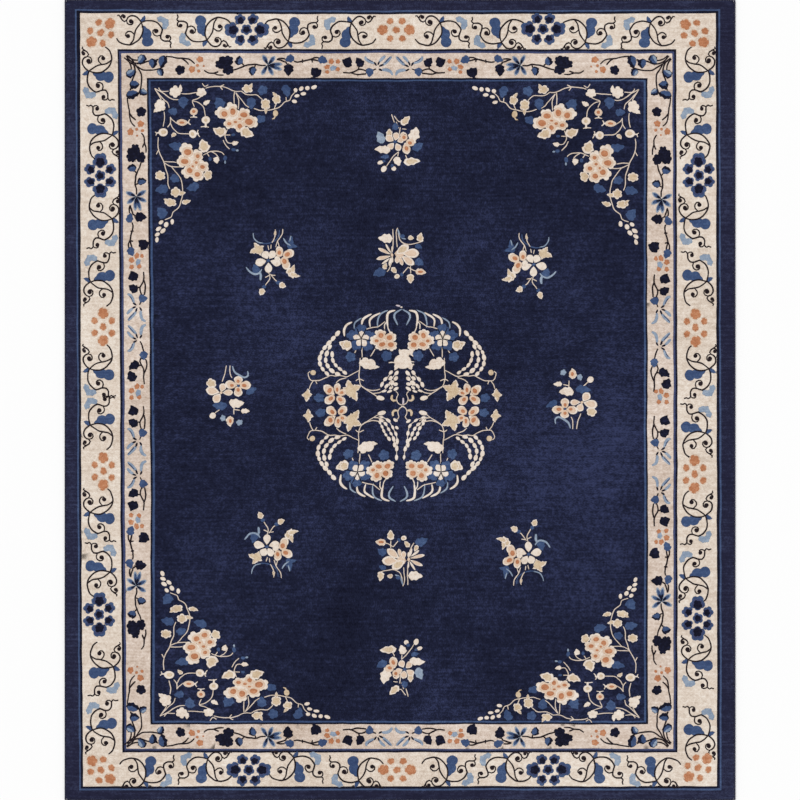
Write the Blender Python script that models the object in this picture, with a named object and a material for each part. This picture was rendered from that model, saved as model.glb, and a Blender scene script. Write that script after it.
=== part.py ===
"""A hand-knotted room-size Chinese rug, laid flat.

The rug is a single knotted cloth of wool pile on a cotton ground. Its long
sides are wrapped round a side cord, and its two ends are overcast with the
same yarn. Lengths are in metres, +Z is up, and the origin is on the
underside, at the middle of the rug.
"""

import math

import bmesh
import bpy
from mathutils import Vector

# Driving sizes of the rug.
RUG_WIDTH = 2.440
RUG_LENGTH = 2.913
RUG_THICKNESS = 0.010

# The wrapped edges: the side cords and the overcast ends.
CORD_WIDTH = 0.0060
CORD_HEIGHT = 0.0072
END_WIDTH = 0.0050
END_HEIGHT = 0.0064
EDGE_GAP = 0.0003

# How the pile rounds off at its edges, and how square its corners are.
PILE_ROUNDING = 0.0030
PILE_ROUNDING_STEPS = 4
CORNER_RADIUS = 0.0080
CORNER_STEPS = 6

# The cord's section: sides round it, and how full the rounded box is.
SECTION_SIDES = 16
SECTION_FULLNESS = 3.0

# Yarn colours, as linear red, green and blue.
PILE_NAVY = (0.018, 0.022, 0.070, 1.0)
EDGE_NAVY = (0.012, 0.012, 0.035, 1.0)


def clear_scene():
    """Remove whatever the scene starts with."""
    for obj in list(bpy.data.objects):
        bpy.data.objects.remove(obj)


def wool(name, colour, roughness):
    """A matt wool material of one colour."""
    material = bpy.data.materials.new(name)
    material.use_nodes = True
    shader = material.node_tree.nodes["Principled BSDF"]
    shader.inputs["Base Color"].default_value = colour
    shader.inputs["Roughness"].default_value = roughness
    shader.inputs["Metallic"].default_value = 0.0
    return material


def add_object(name, mesh_builder, material):
    """Make a named object from a bmesh and give it its material."""
    bmesh.ops.recalc_face_normals(mesh_builder, faces=mesh_builder.faces)
    mesh = bpy.data.meshes.new(name)
    mesh_builder.to_mesh(mesh)
    mesh_builder.free()
    mesh.materials.append(material)
    obj = bpy.data.objects.new(name, mesh)
    bpy.context.scene.collection.objects.link(obj)
    return obj


def rounded_rectangle(width, length, radius, steps):
    """Points round a rectangle whose four corners are arcs."""
    points = []
    corners = ((1, 1), (-1, 1), (-1, -1), (1, -1))
    for quarter, (side_x, side_y) in enumerate(corners):
        centre = Vector((
            side_x * (width / 2 - radius),
            side_y * (length / 2 - radius),
            0.0,
        ))
        for step in range(steps + 1):
            angle = math.pi / 2 * (quarter + step / steps)
            arm = Vector((math.cos(angle), math.sin(angle), 0.0))
            points.append(centre + arm * radius)
    return points


def pile_body(material):
    """The knotted cloth: one flat slab whose upper edge rounds off."""
    width = RUG_WIDTH - 2 * (CORD_WIDTH + EDGE_GAP)
    length = RUG_LENGTH - 2 * (END_WIDTH + EDGE_GAP)
    builder = bmesh.new()
    outline = [
        builder.verts.new(point)
        for point in rounded_rectangle(width, length, CORNER_RADIUS, CORNER_STEPS)
    ]
    underside = builder.faces.new(outline)
    raised = bmesh.ops.extrude_face_region(builder, geom=[underside])
    top = [item for item in raised["geom"] if isinstance(item, bmesh.types.BMVert)]
    bmesh.ops.translate(builder, verts=top, vec=(0.0, 0.0, RUG_THICKNESS))
    rim = [
        edge
        for edge in builder.edges
        if all(vert.co.z > RUG_THICKNESS / 2 for vert in edge.verts)
    ]
    bmesh.ops.bevel(
        builder,
        geom=rim,
        offset=PILE_ROUNDING,
        segments=PILE_ROUNDING_STEPS,
        profile=0.5,
        affect="EDGES",
    )
    body = add_object("pile_body", builder, material)
    body.data.shade_smooth()
    body.data.set_sharp_from_angle(angle=math.radians(35))
    return body


def cord_section(width, height):
    """A rounded box standing on z = 0: the section of a wrapped edge."""
    power = 2.0 / SECTION_FULLNESS
    points = []
    for side in range(SECTION_SIDES):
        angle = 2 * math.pi * (side + 0.5) / SECTION_SIDES
        across = math.copysign(abs(math.cos(angle)) ** power, math.cos(angle))
        upward = math.copysign(abs(math.sin(angle)) ** power, math.sin(angle))
        points.append((across * width / 2, upward * height / 2))
    lowest = min(upward for _, upward in points)
    return [(across, upward - lowest) for across, upward in points]


def wrapped_edge(name, section, length, material):
    """A straight wrapped edge along Y, centred on its own origin."""
    builder = bmesh.new()
    ring = [
        builder.verts.new((across, -length / 2, upward)) for across, upward in section
    ]
    near_end = builder.faces.new(ring)
    far = bmesh.ops.extrude_face_region(builder, geom=[near_end])
    far_verts = [item for item in far["geom"] if isinstance(item, bmesh.types.BMVert)]
    bmesh.ops.translate(builder, verts=far_verts, vec=(0.0, length, 0.0))
    edge = add_object(name, builder, material)
    edge.data.shade_smooth()
    edge.data.set_sharp_from_angle(angle=math.radians(60))
    return edge


def side_cords(material):
    """The two long sides, each wrapped round its side cord, at full length."""
    section = cord_section(CORD_WIDTH, CORD_HEIGHT)
    reach = max(across for across, _ in section)
    for name, side in (("side_cord_left", -1), ("side_cord_right", 1)):
        cord = wrapped_edge(name, section, RUG_LENGTH, material)
        cord.location.x = side * (RUG_WIDTH / 2 - reach)


def overcast_ends(material):
    """The two ends, overcast between the side cords."""
    length = RUG_WIDTH - 2 * (CORD_WIDTH + EDGE_GAP)
    section = cord_section(END_WIDTH, END_HEIGHT)
    reach = max(across for across, _ in section)
    for name, side in (("end_overcast_lower", -1), ("end_overcast_upper", 1)):
        end = wrapped_edge(name, section, length, material)
        end.rotation_euler.z = math.radians(90)
        end.location.y = side * (RUG_LENGTH / 2 - reach)


def main():
    """Build the rug."""
    clear_scene()
    navy = wool("pile_wool", PILE_NAVY, 0.95)
    edge_navy = wool("edge_wool", EDGE_NAVY, 0.9)
    pile_body(navy)
    side_cords(edge_navy)
    overcast_ends(edge_navy)


main()
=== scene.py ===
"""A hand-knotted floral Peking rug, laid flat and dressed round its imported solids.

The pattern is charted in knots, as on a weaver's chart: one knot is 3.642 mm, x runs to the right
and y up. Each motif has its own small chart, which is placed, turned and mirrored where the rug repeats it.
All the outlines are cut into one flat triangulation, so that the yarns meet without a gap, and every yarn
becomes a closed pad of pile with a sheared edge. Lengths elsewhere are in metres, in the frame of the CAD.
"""

import logging
import math
from dataclasses import dataclass, field
from enum import Enum
from typing import Any, ClassVar

import bmesh
import bpy
import numpy as np
from bpy.types import Material, Mesh, Node, NodeSocket, NodeTree, Object
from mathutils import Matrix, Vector, noise
from mathutils.geometry import delaunay_2d_cdt

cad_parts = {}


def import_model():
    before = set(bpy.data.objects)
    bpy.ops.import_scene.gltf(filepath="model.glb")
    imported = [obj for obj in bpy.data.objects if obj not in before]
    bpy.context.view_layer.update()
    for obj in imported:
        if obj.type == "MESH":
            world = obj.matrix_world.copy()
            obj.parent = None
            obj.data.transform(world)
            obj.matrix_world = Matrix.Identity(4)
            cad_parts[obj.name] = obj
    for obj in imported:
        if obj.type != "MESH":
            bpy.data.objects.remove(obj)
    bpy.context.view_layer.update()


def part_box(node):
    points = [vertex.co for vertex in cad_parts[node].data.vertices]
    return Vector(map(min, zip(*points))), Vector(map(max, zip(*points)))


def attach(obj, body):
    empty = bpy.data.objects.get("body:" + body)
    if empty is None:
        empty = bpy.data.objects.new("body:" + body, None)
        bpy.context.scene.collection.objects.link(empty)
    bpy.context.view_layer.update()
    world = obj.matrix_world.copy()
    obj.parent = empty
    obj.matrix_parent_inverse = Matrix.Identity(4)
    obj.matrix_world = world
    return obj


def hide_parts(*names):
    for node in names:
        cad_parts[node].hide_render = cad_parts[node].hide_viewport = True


log = logging.getLogger("peking_rug")

Point = tuple[float, float]
Outline = list[Point]
Three = tuple[float, float, float]
Mirrored = tuple[float, float, int, int]

# The rug's real size and its knot, which is the unit of every chart.
RUG_WIDTH = 2.440
RUG_LENGTH = 2.913
KNOTS_WIDE = 670
KNOT = RUG_WIDTH / KNOTS_WIDE

# In knots: how finely outlines and lines are drawn, how near two points are one, and how wide a stem is.
CURVE_STEP = 1.5
LINE_STEP = 1.9
MERGE_GAP = 0.04
SAME_POINT = 1e-6
STEM = 0.95


class Yarn(Enum):
    """The dyed yarns, each by the word that its pieces are named with."""

    NAVY = "navy"
    BAND = "band_navy"
    GUARD = "guard_blue"
    INK = "ink"
    GROUND = "ivory_ground"
    INNER = "inner_ground"
    HEATHER = "heather"
    IVORY = "ivory"
    TAN = "tan"
    TWIG = "twig"
    PALE = "pale"
    RUST = "rust"
    PEACH = "peach"
    SKY = "sky"
    DENIM = "denim"
    VINE = "vine"


class Zone(Enum):
    """The two parts of the rug that its pile is named by."""

    BORDER = "border"
    FIELD = "field"


# The cut pattern: its points in knots, its triangles, each one's yarn, and whether each lies on the field.
Cut = tuple[np.ndarray, np.ndarray, list[Yarn], np.ndarray]


@dataclass(frozen=True)
class Patch:
    """One plain outline of one yarn, in knots. A later patch lies over an earlier one."""

    yarn: Yarn
    outline: Outline


def rotated(points: Outline, degrees: float, x: float, y: float) -> Outline:
    """Points turned about the origin and then moved.

    Args:
        points: the points to turn.
        degrees: the turn, anticlockwise.
        x: the move to the right.
        y: the move up.

    Returns:
        The moved points.
    """
    c = math.cos(math.radians(degrees))
    s = math.sin(math.radians(degrees))
    return [(x + c * px - s * py, y + s * px + c * py) for px, py in points]


def uneven(x: float, y: float, count: int) -> float:
    """A steady number from -1 to 1 that differs from shape to shape of a chart, and from part to part."""
    return math.sin(1.7 * x + 2.9 * y + 2.4 * count)


def smooth_curve(points: tuple[Point, ...], step: float = LINE_STEP) -> Outline:
    """Points along a smooth curve through given points.

    Args:
        points: the given points, two or more.
        step: how far apart the new points are, in knots.

    Returns:
        The points of a Catmull-Rom curve, both ends included.
    """
    held = [points[0], *points, points[-1]]
    made = []
    for a, b, c, d in zip(held, held[1:], held[2:], held[3:]):
        count = max(1, round(math.dist(b, c) / step))
        for i in range(count):
            t = i / count
            made.append(tuple(
                0.5 * (2 * b[k] + (c[k] - a[k]) * t + (2 * a[k] - 5 * b[k] + 4 * c[k] - d[k]) * t * t
                       + (3 * b[k] - a[k] - 3 * c[k] + d[k]) * t ** 3)
                for k in (0, 1)
            ))
    made.append(points[-1])
    return made


def rimmed(yarn: Yarn, outline: Outline, share: float = 0.66) -> list[Patch]:
    """An outline in its own yarn, with an ivory rim round it where the yarn is tan or peach.

    Args:
        yarn: the yarn within the rim.
        outline: the rim's outer edge.
        share: how much of the outline's size lies within the rim.

    Returns:
        The ivory outline and the one on it, or the plain one alone.
    """
    if yarn not in (Yarn.TAN, Yarn.PEACH):
        return [Patch(yarn, outline)]
    x = sum(p[0] for p in outline) / len(outline)
    y = sum(p[1] for p in outline) / len(outline)
    inner = [(x + share * (px - x), y + share * (py - y)) for px, py in outline]
    return [Patch(Yarn.IVORY, outline), Patch(yarn, inner)]


class Shape:
    """One shape of a chart."""

    def patches(self) -> list[Patch]:
        """The shape's outlines, in its chart's own knots."""
        raise NotImplementedError


@dataclass(frozen=True)
class Oval(Shape):
    """A round or oval bead, petal or bud."""

    yarn: Yarn
    x: float
    y: float
    reach_x: float
    reach_y: float
    turn: float = 0.0

    def patches(self) -> list[Patch]:
        """One oval outline."""
        sides = max(8, round(2 * math.pi * max(self.reach_x, self.reach_y) / CURVE_STEP))
        angles = [2 * math.pi * i / sides for i in range(sides)]
        ring = [(self.reach_x * math.cos(a), self.reach_y * math.sin(a)) for a in angles]
        return [Patch(self.yarn, rotated(ring, self.turn, self.x, self.y))]


@dataclass(frozen=True)
class Ruffle(Shape):
    """A blossom's or leaf's round lobe with a scalloped edge."""

    # Points to a scallop, then the reach of its notch, its swell, and how far swells differ.
    a_lobe: ClassVar[int] = 4
    notch: ClassVar[float] = 0.82
    swell: ClassVar[float] = 0.23
    stray: ClassVar[float] = 0.07
    rim_share: ClassVar[float] = 0.72

    yarn: Yarn
    x: float
    y: float
    reach_x: float
    reach_y: float
    lobes: int = 5
    turn: float = 0.0

    def patches(self) -> list[Patch]:
        """One outline of round scallops with a notch between each two, no two scallops alike."""
        sides = self.a_lobe * self.lobes
        ring = []
        for i in range(sides):
            lobe, part = divmod(i, self.a_lobe)
            angle = 2 * math.pi * i / sides
            bulge = math.sin(math.pi * part / self.a_lobe) ** 0.6
            reach = self.notch + (self.swell + self.stray * uneven(self.x, self.y, lobe)) * bulge
            ring.append((self.reach_x * reach * math.cos(angle), self.reach_y * reach * math.sin(angle)))
        return rimmed(self.yarn, rotated(ring, self.turn, self.x, self.y), self.rim_share)


@dataclass(frozen=True)
class Leaf(Shape):
    """A leaf with a round heel, ragged sides and one pointed tip, which aims the given way."""

    # Shares of the width: how far it bends, and how deep its scallops are, with their waves a side.
    bend: ClassVar[float] = 0.10
    scallop: ClassVar[float] = 0.15
    waves: ClassVar[float] = 2.8

    yarn: Yarn
    x: float
    y: float
    length: float
    width: float
    aim: float

    def patches(self) -> list[Patch]:
        """One leaf outline, a little bent, with scallops that differ on its two sides."""
        steps = max(6, round(self.length / CURVE_STEP) + 2)
        bend = self.bend * self.width * uneven(self.x, self.y, 1)
        sides = []
        for side in (1, -1):
            phase = 3.0 * uneven(self.x, self.y, side + 3)
            edge = []
            for i in range(1, steps):
                t = i / steps
                body = math.sin(math.pi * t ** 0.72) ** 0.75
                ragged = 1.0 + self.scallop * math.sin(2 * self.waves * math.pi * t + phase)
                edge.append((
                    self.length * (t - 0.5),
                    side * self.width / 2 * body * ragged + bend * math.sin(math.pi * t),
                ))
            sides.append(edge)
        ring = [(self.length / 2, -bend), *reversed(sides[0]), (-self.length / 2, 0.0), *sides[1]]
        return rimmed(self.yarn, rotated(ring, self.aim, self.x, self.y))


@dataclass(frozen=True)
class ShadedLeaf(Shape):
    """A dark leaf with a lighter yarn along one side of it."""

    yarn: Yarn
    x: float
    y: float
    length: float
    width: float
    aim: float
    side: int = 1

    def patches(self) -> list[Patch]:
        """The dark leaf and the light ones on it, narrower and moved aside."""
        made = Leaf(Yarn.INK, self.x, self.y, self.length, self.width, self.aim).patches()
        layers = [(Yarn.DENIM, 0.16, 0.86, 0.66)]
        if self.yarn is not Yarn.DENIM:
            layers.append((self.yarn, 0.28, 0.78, 0.36))
        for yarn, slide, long, wide in layers:
            (x, y), = rotated([(0.0, slide * self.width * self.side)], self.aim, self.x, self.y)
            made += Leaf(yarn, x, y, self.length * long, self.width * wide, self.aim).patches()
        return made


@dataclass(frozen=True)
class Star(Shape):
    """A leaf with several pointed lobes round its middle, each as wide as the given share of its reach."""

    # The ivory rim's width in knots, and the round middle's share of a lobe's reach.
    rim_width: ClassVar[float] = 1.3
    middle_share: ClassVar[float] = 0.58

    yarn: Yarn
    middle: Point
    tips: tuple[Point, ...]
    waist: float

    def patches(self) -> list[Patch]:
        """The round middle and the lobes, and within them the same again where the leaf has an ivory rim."""
        cx, cy = self.middle
        made = []
        layers = [(self.yarn, 0.0)]
        if self.yarn is Yarn.TAN:
            layers = [(Yarn.IVORY, 0.0), (self.yarn, self.rim_width)]
        reaches = [math.dist(self.middle, tip) for tip in self.tips]
        for yarn, rim in layers:
            round_middle = self.middle_share * sum(reaches) / len(reaches) - 0.4 * rim
            made += Oval(yarn, cx, cy, round_middle, round_middle).patches()
            for (x, y), reach in zip(self.tips, reaches):
                aim = math.atan2(y - cy, x - cx)
                long = reach - rim
                wide = reach * self.waist - 1.5 * rim
                middle = (cx + long / 2 * math.cos(aim), cy + long / 2 * math.sin(aim))
                lobe = Leaf(Yarn.IVORY, *middle, long, wide, math.degrees(aim))
                made += [Patch(yarn, patch.outline) for patch in lobe.patches()]
        return made


@dataclass(frozen=True)
class Petal(Shape):
    """A petal, narrow at its root and full towards its tip."""

    yarn: Yarn
    root: Point
    tip: Point
    width: float

    def patches(self) -> list[Patch]:
        """One petal outline."""
        length = math.dist(self.root, self.tip)
        aim = math.degrees(math.atan2(self.tip[1] - self.root[1], self.tip[0] - self.root[0]))
        steps = max(6, round(length / CURVE_STEP) + 2)
        upper = []
        for i in range(1, steps):
            t = i / steps
            upper.append((length * t, self.width / 2 * math.sin(math.pi * t ** 1.35) ** 0.62))
        lower = [(px, -py) for px, py in upper]
        ring = [(0.0, 0.0), *lower, (length, 0.0), *reversed(upper)]
        return rimmed(self.yarn, rotated(ring, aim, *self.root))


@dataclass(frozen=True)
class Heart(Shape):
    """The warm heart of a petal: a rust middle that pales to peach round it."""

    # How much farther the peach reaches, in knots, and the rust's share of the given reach.
    halo: ClassVar[float] = 1.7
    core: ClassVar[float] = 0.92

    x: float
    y: float
    reach_x: float
    reach_y: float
    turn: float = 0.0

    def patches(self) -> list[Patch]:
        """The peach oval and the rust one on it."""
        wide, tall = self.reach_x, self.reach_y
        outer = Oval(Yarn.PEACH, self.x, self.y, wide + self.halo, tall + self.halo, self.turn)
        inner = Oval(Yarn.RUST, self.x, self.y, wide * self.core, tall * self.core, self.turn)
        return outer.patches() + inner.patches()


@dataclass(frozen=True)
class Line(Shape):
    """A stem, vine or blade: a line of yarn along a smooth curve, thinner at its two ends."""

    yarn: Yarn
    width: float
    points: tuple[Point, ...]
    taper: float = 0.8

    def patches(self) -> list[Patch]:
        """One four-sided patch for each short length of the line, so that it may cross itself."""
        spine = smooth_curve(self.points)
        last = len(spine) - 1
        edges = []
        for i, (x, y) in enumerate(spine):
            before = spine[max(0, i - 1)]
            after = spine[min(last, i + 1)]
            length = math.dist(before, after) or 1.0
            across = (-(after[1] - before[1]) / length, (after[0] - before[0]) / length)
            swell = self.taper + (1 - self.taper) * abs(math.sin(math.pi * i / last)) ** 0.6
            half = self.width / 2 * swell
            edges.append((
                (x + across[0] * half, y + across[1] * half),
                (x - across[0] * half, y - across[1] * half),
            ))
        return [Patch(self.yarn, [a[1], b[1], b[0], a[0]]) for a, b in zip(edges, edges[1:])]


@dataclass(frozen=True)
class Curl(Shape):
    """A tendril that leaves its vine, winds round its own dot by the given sweep and runs into it."""

    # Degrees to a point of the line, and where in the dot it ends.
    degrees_a_point: ClassVar[float] = 36
    end_share: ClassVar[float] = 0.8

    yarn: Yarn
    start: Point
    dot_at: Point
    sweep: float
    dot: float
    width: float = 1.2

    def patches(self) -> list[Patch]:
        """The tendril's line and its dot."""
        x, y = self.dot_at
        far = math.dist(self.start, self.dot_at)
        first = math.atan2(self.start[1] - y, self.start[0] - x)
        steps = max(4, round(abs(self.sweep) / self.degrees_a_point))
        points = []
        for i in range(steps + 1):
            t = i / steps
            reach = far + (self.dot * self.end_share - far) * t
            angle = first + math.radians(self.sweep) * t
            points.append((x + reach * math.cos(angle), y + reach * math.sin(angle)))
        line = Line(self.yarn, self.width, tuple(points))
        return line.patches() + Oval(self.yarn, *self.dot_at, self.dot, self.dot).patches()


@dataclass(frozen=True)
class Strand(Shape):
    """Oval beads that hang end to end on a thread."""

    # The thread's width and how closely its beads are placed along it, in knots, and how far sizes differ.
    thread: ClassVar[float] = 0.8
    fine_step: ClassVar[float] = 0.5
    stray: ClassVar[float] = 0.12

    yarn: Yarn
    count: int
    long: float
    wide: float
    points: tuple[Point, ...]

    def patches(self) -> list[Patch]:
        """The thread and its beads, which differ a little in size."""
        made = Line(self.yarn, self.thread, self.points).patches()
        spine = smooth_curve(self.points, self.fine_step)
        for i in range(self.count):
            at = round((i + 0.5) / self.count * (len(spine) - 1))
            (x, y), before, after = spine[at], spine[at - 1], spine[at + 1]
            aim = math.degrees(math.atan2(after[1] - before[1], after[0] - before[0]))
            size = 1.0 + self.stray * uneven(x, y, i)
            made += Oval(self.yarn, x, y, self.long * size, self.wide * size, aim).patches()
        return made


@dataclass(frozen=True)
class Placement:
    """Where a chart lies on the rug: its origin, and the ways that its x and its y run."""

    x: float
    y: float
    along: Point = (1.0, 0.0)
    across: Point = (0.0, 1.0)

    def put(self, shapes: tuple[Shape, ...]) -> list[Patch]:
        """A chart's patches where they lie on the rug.

        Args:
            shapes: the chart.

        Returns:
            The patches, in the rug's own knots.
        """
        placed = []
        for shape in shapes:
            for patch in shape.patches():
                outline = [
                    (
                        self.x + px * self.along[0] + py * self.across[0],
                        self.y + px * self.along[1] + py * self.across[1],
                    )
                    for px, py in patch.outline
                ]
                placed.append(Patch(patch.yarn, outline))
        return placed


NAVY, BAND, GUARD, INK, GROUND, INNER, HEATHER, IVORY, TAN, TWIG, PALE, RUST, PEACH, SKY, DENIM, VINE = Yarn

# The corner spray of peonies, across and up from the field's upper left corner.
CORNER_SPRAY: tuple[Shape, ...] = (
    *(Line(TWIG, STEM, route) for route in (
        ((2.5, -6), (7.5, -14), (9, -17.5)),
        ((6.5, -5.5), (9, -9), (16.5, -9)),
        ((2.5, -6), (10.5, -10.5), (15.5, -14.5), (21, -17), (26.5, -17)),
        ((3, -7), (11.5, -17), (15.5, -20.5), (17, -25.5)),
        ((18.5, -34.5), (18.5, -40.5), (15.5, -45)),
        ((18.5, -34.5), (20, -37), (25, -41)),
        ((18.5, -40.5), (21, -46), (24, -49), (27, -51), (37, -51.5)),
        ((29, -11.5), (38, -11), (45, -10)),
        ((49, -14), (45, -16), (40, -18), (42, -24)),
        ((40, -18), (46, -20), (51.5, -25.5), (53, -34)),
        ((53.5, -6), (59, -4.5), (68, -4), (75, -5.5), (82.5, -9), (89, -9)),
        ((50, -1), (52.5, -4.5), (56, -2.5)),
        ((68, -4), (70.5, -7.5)),
        ((68, -4), (72, -2)),
        ((89, -9), (95, -12.5), (104, -12.5), (108, -15.5), (110, -17.5)),
        ((82.5, -9.5), (82, -14), (82, -21.5)),
        ((83.5, -10.5), (86.5, -18), (86, -27)),
        ((83.5, -10.5), (89, -17), (93.5, -22.5), (97, -25)),
        ((101.5, -26), (108, -28), (113.5, -28), (120.5, -27), (127, -25), (132, -20), (137, -18),
         (139, -14), (142.5, -10)),
        ((133.5, -15), (134, -19)),
        ((122, -26.5), (123.5, -22), (124.5, -19)),
        ((12, -29.5), (12.5, -36), (11, -44)),
        ((6, -55), (5.5, -62.5), (6, -67), (8, -72.5), (11.5, -79.5), (13, -85), (15.5, -92.5),
         (15.5, -100.5), (17.5, -106)),
        ((6, -68), (4, -72)),
        ((11.5, -79.5), (19, -79.5), (24, -80)),
        ((11.5, -80.5), (19, -84), (29, -84.5)),
        ((19, -84), (23.5, -89.5), (27, -94), (29, -98), (30.5, -106), (30.5, -112.5), (28.5, -119),
         (26.5, -125), (20.5, -129.5), (19, -134), (12.5, -137)),
        ((75, -47), (73, -54), (76, -60.5), (80, -60.5)),
        ((73.5, -52.5), (78, -52.5)),
        ((71, -57.5), (73.5, -62.5), (77.5, -67)),
        ((51, -72.5), (55, -70.5), (59, -69), (66, -69), (70, -70.5), (72, -73)),
        ((55, -70.5), (57, -74)),
        ((59, -69), (63.5, -71.5), (66, -75)),
    )),
    Ruffle(IVORY, 23, -9.5, 5.9, 5.4, 6),
    Leaf(IVORY, 27.5, -6.5, 8.5, 4.5, 78),
    Ruffle(IVORY, 49, -10, 4.9, 4.5, 5, 20), Ruffle(IVORY, 8, -23, 5.4, 6.4),
    Leaf(IVORY, 4.5, -28, 8, 5, 205), Leaf(IVORY, 54.5, -20, 8, 4.6, 30),
    *(Leaf(DENIM, *row) for row in (
        (31.5, -20, 12, 10, -100), (20.5, -29, 10, 7.5, 175), (23.5, -63.5, 15, 8.5, 172),
        (26.5, -66, 8, 5, -50), (66.5, -21, 12.5, 10.5, 110),
    )),
    Ruffle(DENIM, 110, -8, 5, 4.8),
    Leaf(DENIM, 99, -21, 12, 9, -92),
    Ruffle(DENIM, 108, -36.5, 5.2, 4.2),
    Leaf(DENIM, 133.5, -9, 13, 8.5, -70),
    Ruffle(DENIM, 22.5, -96, 4.8, 4.2),
    Leaf(DENIM, 9.5, -107, 13.5, 9, 190), Leaf(DENIM, 40.5, -104, 13.5, 8.5, 200),
    Leaf(DENIM, 9, -130, 12.5, 10, 118),
    Line(IVORY, 1.1, ((38, -35), (41.5, -34.5), (45, -35))),
    Line(IVORY, 1.6, ((41.5, -31), (41.5, -35))),
    Oval(IVORY, 41.5, -29, 3.8, 3.8),
    Heart(41.5, -29, 1.8, 1.8),
    Line(IVORY, 1.1, ((48.5, -44.5), (53.5, -44), (56.5, -45))),
    Line(IVORY, 2, ((53.5, -40), (53.5, -45))),
    Oval(IVORY, 53.5, -37.5, 4.3, 3.9),
    Oval(TAN, 53.5, -37.8, 1.9, 1.7),
    Line(IVORY, 1.1, ((37.5, -37), (36, -40), (38.5, -42.5))),
    Line(IVORY, 2, ((33, -40), (37, -40))),
    Oval(IVORY, 30, -40, 5.4, 3.3),
    Heart(30, -40, 2.8, 1.4),
    Line(IVORY, 1.1, ((46, -47.5), (45, -50.5), (47.5, -54.5))),
    Line(IVORY, 1.8, ((43, -51), (46.5, -51))),
    Oval(IVORY, 40.5, -51.5, 4, 4),
    Oval(TAN, 40.3, -51.5, 1.8, 1.8),
    Line(IVORY, 1.1, ((2.5, -49.5), (4.5, -51), (3.5, -53.5))),
    Oval(IVORY, 11, -50, 4.8, 4.2),
    Oval(TAN, 11.4, -50, 2.6, 2),
    Line(IVORY, 1.6, ((8, -50.5), (3.5, -51))),
    Leaf(TAN, 21.5, -53, 6.5, 4, 220),
    Oval(DENIM, 81, -52.5, 2.2, 1.4),
    Leaf(IVORY, 83, -60.5, 7, 4.6, 8),
    Oval(DENIM, 81.5, -67.5, 2.4, 1.8),
    Oval(SKY, 85, -68, 1.5, 1.1),
    Oval(DENIM, 73, -76, 2, 2.8, -15),
    Oval(SKY, 73, -80, 1, 1.8),
    Oval(DENIM, 58, -76.5, 1.8, 2.2),
    Leaf(IVORY, 64.5, -78, 7, 6, -95),
    Oval(IVORY, 84, -36, 13, 8, -25),
    *(Ruffle(IVORY, *row) for row in (
        (69, -30.5, 6, 6), (79, -27, 6.6, 6.6), (91.5, -31.5, 6.2, 6.2), (99, -39.5, 6.6, 6.6),
        (77, -41.5, 5.4, 5.4), (87.5, -44, 6.2, 6.2), (82.5, -36, 6, 6),
    )),
    *(Heart(*row) for row in (
        (72, -32, 3.2, 3), (80.5, -29.5, 3, 3.6), (91.5, -32.5, 4, 2.8), (96.5, -39.5, 4.2, 3.4),
        (77, -41.5, 2.4, 1.8), (87.5, -44, 2.4, 2.6), (83, -40, 2, 1.4), (87.5, -37, 1.8, 1),
    )),
    Leaf(TAN, 67.5, -48.5, 14.5, 9, 165), Leaf(TAN, 94.5, -50, 15, 10, -28),
    Oval(IVORY, 41, -80.5, 9, 12, 25),
    *(Ruffle(IVORY, *row) for row in (
        (33.5, -67, 6.6, 6.6), (30.5, -79, 6.2, 6.2), (35.5, -89.5, 6.2, 6.2), (45, -72.5, 5.8, 5.8),
        (45, -92.5, 6.6, 6.6), (50.5, -84, 6.2, 6.2), (41.5, -81.5, 6, 6),
    )),
    *(Heart(*row) for row in (
        (35.5, -69.5, 3.8, 3.4), (32.5, -79, 4.2, 2.8), (37.5, -88, 3, 3), (45, -92, 3, 2.6),
        (50, -84.5, 2.6, 2.2), (45.5, -73.5, 2.2, 2), (44, -80, 1.8, 1.4), (40.5, -84, 1.3, 1.3),
    )),
    Leaf(TAN, 52, -63, 14, 11, 116),
    Ruffle(TAN, 55.5, -92.5, 4.4, 5.2), Ruffle(TAN, 95, -6.5, 5.2, 4.4),
    Leaf(TAN, 98.5, -4, 7, 3.6, 70),
    Ruffle(TAN, 113, -22, 4.6, 6, 6),
    Leaf(TAN, 113.5, -28.5, 7, 3.2, -95),
    Ruffle(TAN, 124, -17, 4.2, 5),
    Leaf(TAN, 122, -12.5, 7, 3.4, 125),
    Oval(TAN, 123, -31, 2.7, 3.4),
    Line(TAN, 1.6, ((123, -33.5), (121.5, -36), (119.5, -36.5)), 0.4),
    Ruffle(TAN, 8, -93, 5, 4.8, 6), Ruffle(TAN, 23.5, -109.5, 5.2, 4.8, 6),
    Leaf(TAN, 30, -110.5, 8, 4.4, 8),
    Ruffle(TAN, 18.5, -120, 5.8, 4.2),
    Leaf(TAN, 14, -118, 6.5, 3.4, 140), Leaf(TAN, 34, -119, 10, 4.6, 14),
    *(Oval(IVORY, *row) for row in (
        (143, -8, 2.2, 2.2), (149, -6.5, 2.7, 2, 40), (155, -6, 2.4, 2.2, 20), (161.5, -5, 3, 1.9, 25),
        (144.5, -13.5, 2.6, 1.7, 15), (151, -11.5, 2.8, 1.7, 5), (142, -19, 2.8, 1.8, -15),
        (9, -139.5, 2.6, 1.9, 40), (14, -142, 2.2, 2.8, -20), (20, -139, 1.9, 2.9), (6.5, -146, 3.1, 2, 35),
        (11, -148, 3, 2, 45), (5.5, -151.5, 2.8, 1.9, 30), (5, -157, 1.8, 2.9, -15),
    )),
)

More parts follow.
